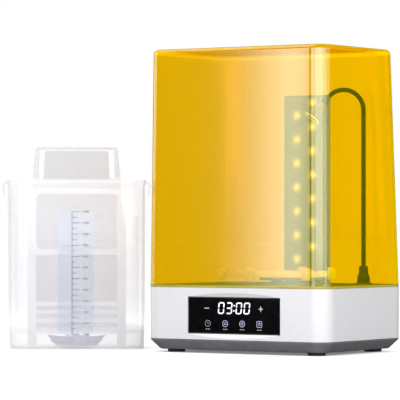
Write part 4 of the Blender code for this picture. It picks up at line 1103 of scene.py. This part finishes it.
# ---------------------------------------------------------------- wash bucket
def build_tub():
    sections = mm((336, 276.4, 189.4, 30), (335.2, 277, 190, 30), (329.6, 277, 190, 30),
                  (327.6, 276, 189, 29.5), (323.6, 273.4, 186.4, 28.5), (318, 273, 186, 28),
                  (40, 271, 184, 28), (10, 268.2, 181.2, 27), (3, 267, 180, 26),
                  (0.8, 265.4, 178.4, 25), (0, 263, 176, 24))
    outer = [(z, width, depth, corner, corner, 0.0) for z, width, depth, corner in sections]
    wall = 0.0026
    inner = [(z, width - 2 * wall, depth - 2 * wall, corner - wall, corner - wall, 0.0)
             for z, width, depth, corner, _, _ in outer[:-3]]
    inner.append((0.0045, 0.2610, 0.1740, 0.023, 0.023, 0.0))
    inner.append((wall, 0.2560, 0.1690, 0.021, 0.021, 0.0))
    piece("tub_shell", cup(outer, inner), TUB, BUCKET, "bucket",
          ("bucket_tub",), sharp=50.0)
    lip = mm((138.6, 333.6), (143, 333), (146.2, 330.4), (147.8, 327), (148.2, 323), (147.2, 318),
             (146.4, 313), (146.4, 308.5), (147.2, 305), (145.6, 304.5), (144.4, 308), (144.2, 313),
             (145, 319), (145.9, 323), (145.2, 326.8), (143.6, 329.4), (141.2, 330.8), (138.6, 331))
    for name, side in (("left", -1), ("right", 1)):
        shape = flat_plate([[(side * x, z) for x, z in lip]], 0.070, 0.0004)
        piece(f"tub_lip_{name}", shape, TUB, BUCKET, "bucket", sharp=50.0)


def tub_front(z):
    """How far forward the tub's front is at a height."""
    low_z, low_y, high_z, high_y = 0.040, 0.0920, 0.318, 0.0930
    share = (z - low_z) / (high_z - low_z)
    return -(low_y + (high_y - low_y) * max(-0.2, min(1.0, share)))


def build_scale():
    """Litre marks with their figures, printed on the front of the tub."""
    marks = bmesh.new()
    top = SCALE_LOW + 11 * LITRE
    height = top - SCALE_LOW
    line = block((0.0009, 0.0002, height + 0.0008), 0.0)
    add_shape(marks, moved(line, -0.0093, 0.0, SCALE_LOW + height / 2))
    for half in range(23):
        z = SCALE_LOW + half * LITRE / 2
        length = 0.0146 if half % 2 == 0 else 0.0092
        add_shape(marks, moved(block((length, 0.0002, 0.0008), 0.0), -0.0093 + length / 2, 0.0, z))
    for litre in range(1, 13):
        z = SCALE_LOW + (litre - 1) * LITRE
        figures = lettered(str(litre * 1000), 0.0052, 0.0002)
        add_shape(marks, moved(figures, 0.0176, 0.0, z))
    for vert in marks.verts:
        vert.co.y += tub_front(vert.co.z) - 0.00035
    piece("tub_scale", marks, PRINT, BUCKET, "bucket", sharp=20.0)
    outline = rounded_outline(0.0713, 0.2410, 0.004, 0.004, 0.1535, 6)
    strip = flat_plate([outline], 0.0006, 0.0002)
    strip.transform(Matrix.Translation((-0.0020, 0.0, 0.0)))
    for vert in strip.verts:
        vert.co.y += tub_front(vert.co.z) + 0.0001
    piece("tub_window", strip, WINDOW_STRIP, BUCKET, "bucket")


def impeller_blade(angle):
    fin = mm((13, 7.6), (43, 7.6), (50, 11.2), (56, 16), (54, 18.6), (62.5, 25.2), (60.5, 25.8),
             (48, 23.6), (30, 22.6), (13, 21.5))
    shape = flat_plate([fin], 0.0024, 0.0005)
    for vert in shape.verts:
        reach = max(0.0, vert.co.x - 0.013)
        vert.co.y += 2.2 * reach * reach
    shape.transform(Matrix.Rotation(angle, 4, "Z"))
    return shape


def build_impeller():
    hub = mm((4.2, 25), (6, 25.4), (11, 25.2), (14, 24), (15.8, 20), (17.2, 14), (20, 10.6),
             (26, 9.2), (43, 8.6), (44, 8), (44, 6), (43.6, 5.5), (20.2, 5.5), (20, 5.7), (20, 7.2),
             (4.2, 7.2))
    shape = turned(hub, 64, closed=True)
    for blade in range(8):
        add_shape(shape, impeller_blade(math.tau * (blade + 0.35) / 8))
    piece("impeller_rotor", shape, NAVY, BUCKET, "impeller", ("impeller",))
    post = mm((0, 22.5), (2.8, 22.5), (3.8, 21.5), (3.8, 4.8), (4.6, 4.4), (11.2, 4), (12, 3.6),
              (12, 3), (0, 3))
    piece("impeller_axle", turned(post, 32), STEEL, BUCKET, "bucket", ("impeller_post",))


# ---------------------------------------------------------------- basket
def basket_size():
    return 0.247, 0.150, 0.020, 0.002


def build_cage():
    width, depth, corner, wall = basket_size()
    bottom, top = 0.031, 0.266
    outer = [(top, width - 0.001, depth - 0.001, corner - 0.0005),
             (top - 0.0006, width, depth, corner),
             (bottom + 0.002, width, depth, corner),
             (bottom + 0.0006, width - 0.0012, depth - 0.0012, corner - 0.0006),
             (bottom, width - 0.003, depth - 0.003, corner - 0.0015)]
    shape = lofted([(z, w, d, c, c, 0.0) for z, w, d, c in reversed(outer)], 14)
    inner = (width - 2 * wall, depth - 2 * wall, corner - wall, corner - wall, 0.0)
    cutters = [lofted([(bottom - 0.01, *inner), (top + 0.01, *inner)], 14)]
    for low, high in ((0.094, 0.187), (0.199, 0.300)) + SLOT_HEIGHTS:
        window = block((0.162, depth, high - low), 0.0)
        cutters.append(moved(window, 0.0, -depth / 2, (low + high) / 2))
        if (low, high) in SLOT_HEIGHTS:
            slot = block((width + 0.02, 0.100, high - low), 0.0)
            cutters.append(moved(slot, 0.0, 0.0, (low + high) / 2))
    piece("basket_cage", carved(shape, cutters), CAGE, BUCKET, "basket",
          ("basket_body",), sharp=40.0)


def build_basket_floor():
    width, depth, corner, wall = basket_size()
    clear = 2 * wall + 0.0006
    corner -= clear / 2
    rim = rounded_outline(width - clear, depth - clear, corner, corner, 0.0, 10)
    holes = []
    for column in range(-8, 9):
        for row in range(-4, 5):
            shift = 0.0070 if row % 2 else 0.0
            x, y = column * 0.0140 + shift, row * 0.0150
            if abs(x) < 0.114 and abs(y) < 0.066:
                holes.append([(x + 0.0042 * math.cos(math.tau * i / 12),
                               y + 0.0042 * math.sin(math.tau * i / 12)) for i in range(12)])
    shape = flat_plate([rim] + holes, 0.003, 0.0003)
    shape.transform(UPRIGHT.inverted())
    piece("basket_base", moved(shape, 0.0, 0.0, 0.0325), CAGE, BUCKET, "basket",
          ("basket_floor",), sharp=40.0)


def leg_side():
    """The right edge of a frame, from the inside of its foot up to the rim of the tub."""
    waist = mm((98, 247), (96.6, 259), (94.5, 270), (92.2, 281), (90.2, 291), (88.7, 300),
               (88.1, 308))
    return mm((82, 3.2), (97, 3.2), (98, 4.2)) + waist + [(0.0880, 0.334)]


def mirrored(right):
    left = [(-x, z) for x, z in reversed(right)]
    return right + left + [(-0.082, 0.031), (0.082, 0.031)]


def rounded_top(half_width, top, corner, steps=6):
    return [(half_width - corner + corner * math.cos(math.radians(5.0 + 85.0 * step / steps)),
             top - corner + corner * math.sin(math.radians(5.0 + 85.0 * step / steps)))
            for step in range(steps + 1)]


def window_outline(half_width, low, high, corner):
    return rounded_outline(2 * half_width, high - low, corner, corner, (low + high) / 2, 6)


def build_basket_frames():
    front = leg_side() + [(0.0872, 0.3375), (0.0866, 0.340)] + rounded_top(0.0815, 0.401, 0.006)
    holes = [window_outline(0.080, 0.199, 0.308, 0.010)]
    holes.append(window_outline(0.0805, 0.094, 0.187, 0.003))
    holes += [window_outline(0.0805, low, high, 0.002) for low, high in SLOT_HEIGHTS]
    holes.append(mm((-75.5, 339), (75.5, 339), (73.7, 395.5), (72.7, 396.5), (-72.7, 396.5),
                    (-73.7, 395.5)))
    shape = flat_plate([mirrored(front)] + holes, 0.0035, 0.0008)
    y = middle_local("basket_front_frame").y
    piece("basket_front", moved(shape, 0.0, y), FRONT_FRAME, BUCKET, "basket",
          ("basket_front_frame",), sharp=40.0)
    rear = leg_side() + mm((86, 335), (69, 336.2), (67.2, 338))
    rear += rounded_top(0.0645, 0.397, 0.003)
    y = middle_local("basket_rear_panel").y
    shape = flat_plate([mirrored(rear)], 0.0035, 0.0008)
    piece("basket_back", moved(shape, 0.0, y), BACK_PANEL_SHADED, BUCKET, "basket",
          ("basket_rear_panel",), sharp=40.0)


def middle_local(node):
    """A node's middle in the bucket's own frame."""
    return BUCKET.inverted() @ middle(node)


# ---------------------------------------------------------------- CAD pieces kept as they are
def repaint():
    """Give every CAD piece that is still shown its finished material."""
    finishes = {"display_board": BOARD, "main_board": BOARD, "motor_body": STEEL,
                "motor_bracket": ZINC, "drive_shaft": STEEL, "magnet_carrier": BLACK,
                "drive_magnet_left": NICKEL, "drive_magnet_right": NICKEL, "dc_inlet": BLACK,
                "fan_frame": BLACK, "fan_rotor": BLACK, "hood_sensor": BLACK,
                "hood_magnet": NICKEL, "tower_foot": ZINC, "turntable_magnet_left": NICKEL,
                "turntable_magnet_right": NICKEL, "impeller_magnet": NICKEL,
                "tray_screw_front_left": ZINC, "tray_screw_front_right": ZINC,
                "tray_screw_rear_left": ZINC, "tray_screw_rear_right": ZINC}
    for name, paint in finishes.items():
        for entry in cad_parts[name].material_slots:
            entry.material = paint


# ---------------------------------------------------------------- studio
def area_light(name, place_at, target, size, energy):
    lamp = bpy.data.lights.new(name, "AREA")
    lamp.shape = "RECTANGLE"
    lamp.size, lamp.size_y = size
    lamp.energy = energy
    item = bpy.data.objects.new(name, lamp)
    item.location = place_at
    item.rotation_euler = (Vector(target) - Vector(place_at)).to_track_quat("-Z", "Y").to_euler()
    item.visible_camera = False
    bpy.context.scene.collection.objects.link(item)
    return item


def build_studio():
    world = bpy.data.worlds.new("studio")
    world.use_nodes = True
    sky = world.node_tree.nodes["Background"]
    sky.inputs["Color"].default_value = (1.0, 1.0, 1.0, 1.0)
    sky.inputs["Strength"].default_value = 1.0
    bpy.context.scene.world = world
    world.cycles_visibility.glossy = False
    reach, thick = 30.0, 0.01
    shape = turned([(0.0, 0.0), (reach, 0.0), (reach, -thick), (0.0, -thick)], 96)
    mesh = bpy.data.meshes.new("studio_floor")
    shape.to_mesh(mesh)
    shape.free()
    floor_paint = glowing("floor_paint", (1.0, 1.0, 1.0), 0.19, (0.88, 0.88, 0.88))
    floor_paint.node_tree.nodes["Principled BSDF"].inputs["Specular IOR Level"].default_value = 0.0
    mesh.materials.append(floor_paint)
    floor = bpy.data.objects.new("studio_floor", mesh)
    floor.visible_glossy = False
    bpy.context.scene.collection.objects.link(floor)
    middle_of_machine = (MACHINE.translation.x, MACHINE.translation.y, 0.30)
    corner = MACHINE.translation + Vector((BASE_WIDTH / 2, -BASE_DEPTH / 2, 0.0))
    area_light("key", (1.54, -1.76, 0.75), middle_of_machine, (2.0, 1.2), 38.0)
    right = area_light("right", (2.50, -0.55, 1.10), middle_of_machine, (1.2, 1.2), 22.0)
    right.visible_glossy = False
    # Upright cards that show as the soft highlights on the hood's front and on its near corner.
    card_height = 1.0
    card_middle = 0.6
    card_distance = 1.869
    edges = (1.155, 1.175, 1.19, 1.215, 1.24, 1.265, 1.29, 1.315, 1.34, 1.365, 1.39, 1.43)
    levels = (1.6, 3.6, 5.8, 5.2, 4.5, 3.7, 2.9, 2.1, 1.5, 1.0, 0.6)
    strips = [(-0.26, 0.57, 3.6)] + list(zip(edges, edges[1:], levels))
    for index, (near, far, brightness) in enumerate(strips):
        place_at = Vector((corner.x - (near + far) / 2, corner.y - card_distance, card_middle))
        size = (far - near, card_height)
        area_light(f"gradient_{index}", place_at, place_at + Vector((0.0, 1.0, 0.0)), size,
                   brightness * math.pi * size[0] * size[1])
    card_width = 0.72
    card_distance = 1.9
    for name, azimuth, brightness in (("corner_near", 74.0, 3.2), ("corner_far", 98.0, 1.3)):
        turn = math.radians(azimuth)
        place_at = Vector((corner.x + card_distance * math.sin(turn),
                           corner.y - card_distance * math.cos(turn), card_middle))
        card = area_light(name, place_at, Vector((corner.x, corner.y, card_middle)),
                          (card_width, card_height), brightness * math.pi * card_width)
        card.visible_diffuse = False
    area_light("side", (-1.9, -0.1, 0.7), (0.0, -0.1, 0.4), (1.2, 1.6), 16.0)
    area_light("top", (-0.8, -0.3, 2.4), (0.1, 0.0, 0.3), (2.2, 1.6), 25.0)


def build_camera():
    """The photograph's view: level, from the right of the machine's front, from 5.4 m."""
    turn = math.radians(33.4)
    distance, aside, height = 5.443, 0.2338, 0.2567    # from the foot of the near corner
    ahead = Vector((-math.sin(turn), math.cos(turn), 0.0))
    right = Vector((math.cos(turn), math.sin(turn), 0.0))
    near_corner = MACHINE.translation + Vector((BASE_WIDTH / 2, -BASE_DEPTH / 2, 0.0))
    lens = bpy.data.cameras.new("photo_view")
    lens.lens = 262.0
    lens.sensor_width = 36.0
    lens.shift_y = 0.05
    lens.clip_end = 60.0
    item = bpy.data.objects.new("photo_view", lens)
    item.location = near_corner - distance * ahead - aside * right + Vector((0.0, 0.0, height))
    item.rotation_euler = (math.pi / 2, 0.0, turn)
    bpy.context.scene.collection.objects.link(item)
    bpy.context.scene.camera = item


build_camera()
build_studio()
build_housing()
build_skirt()
build_feet()
build_panel()
build_rear()
build_turntable()
build_tower()
build_lamp()
build_hood()
build_tub()
build_scale()
build_impeller()
build_cage()
build_basket_floor()
build_basket_frames()
repaint()
bpy.context.scene.view_settings.view_transform = "Standard"
bpy.context.scene.cycles.transparent_max_bounces = 64
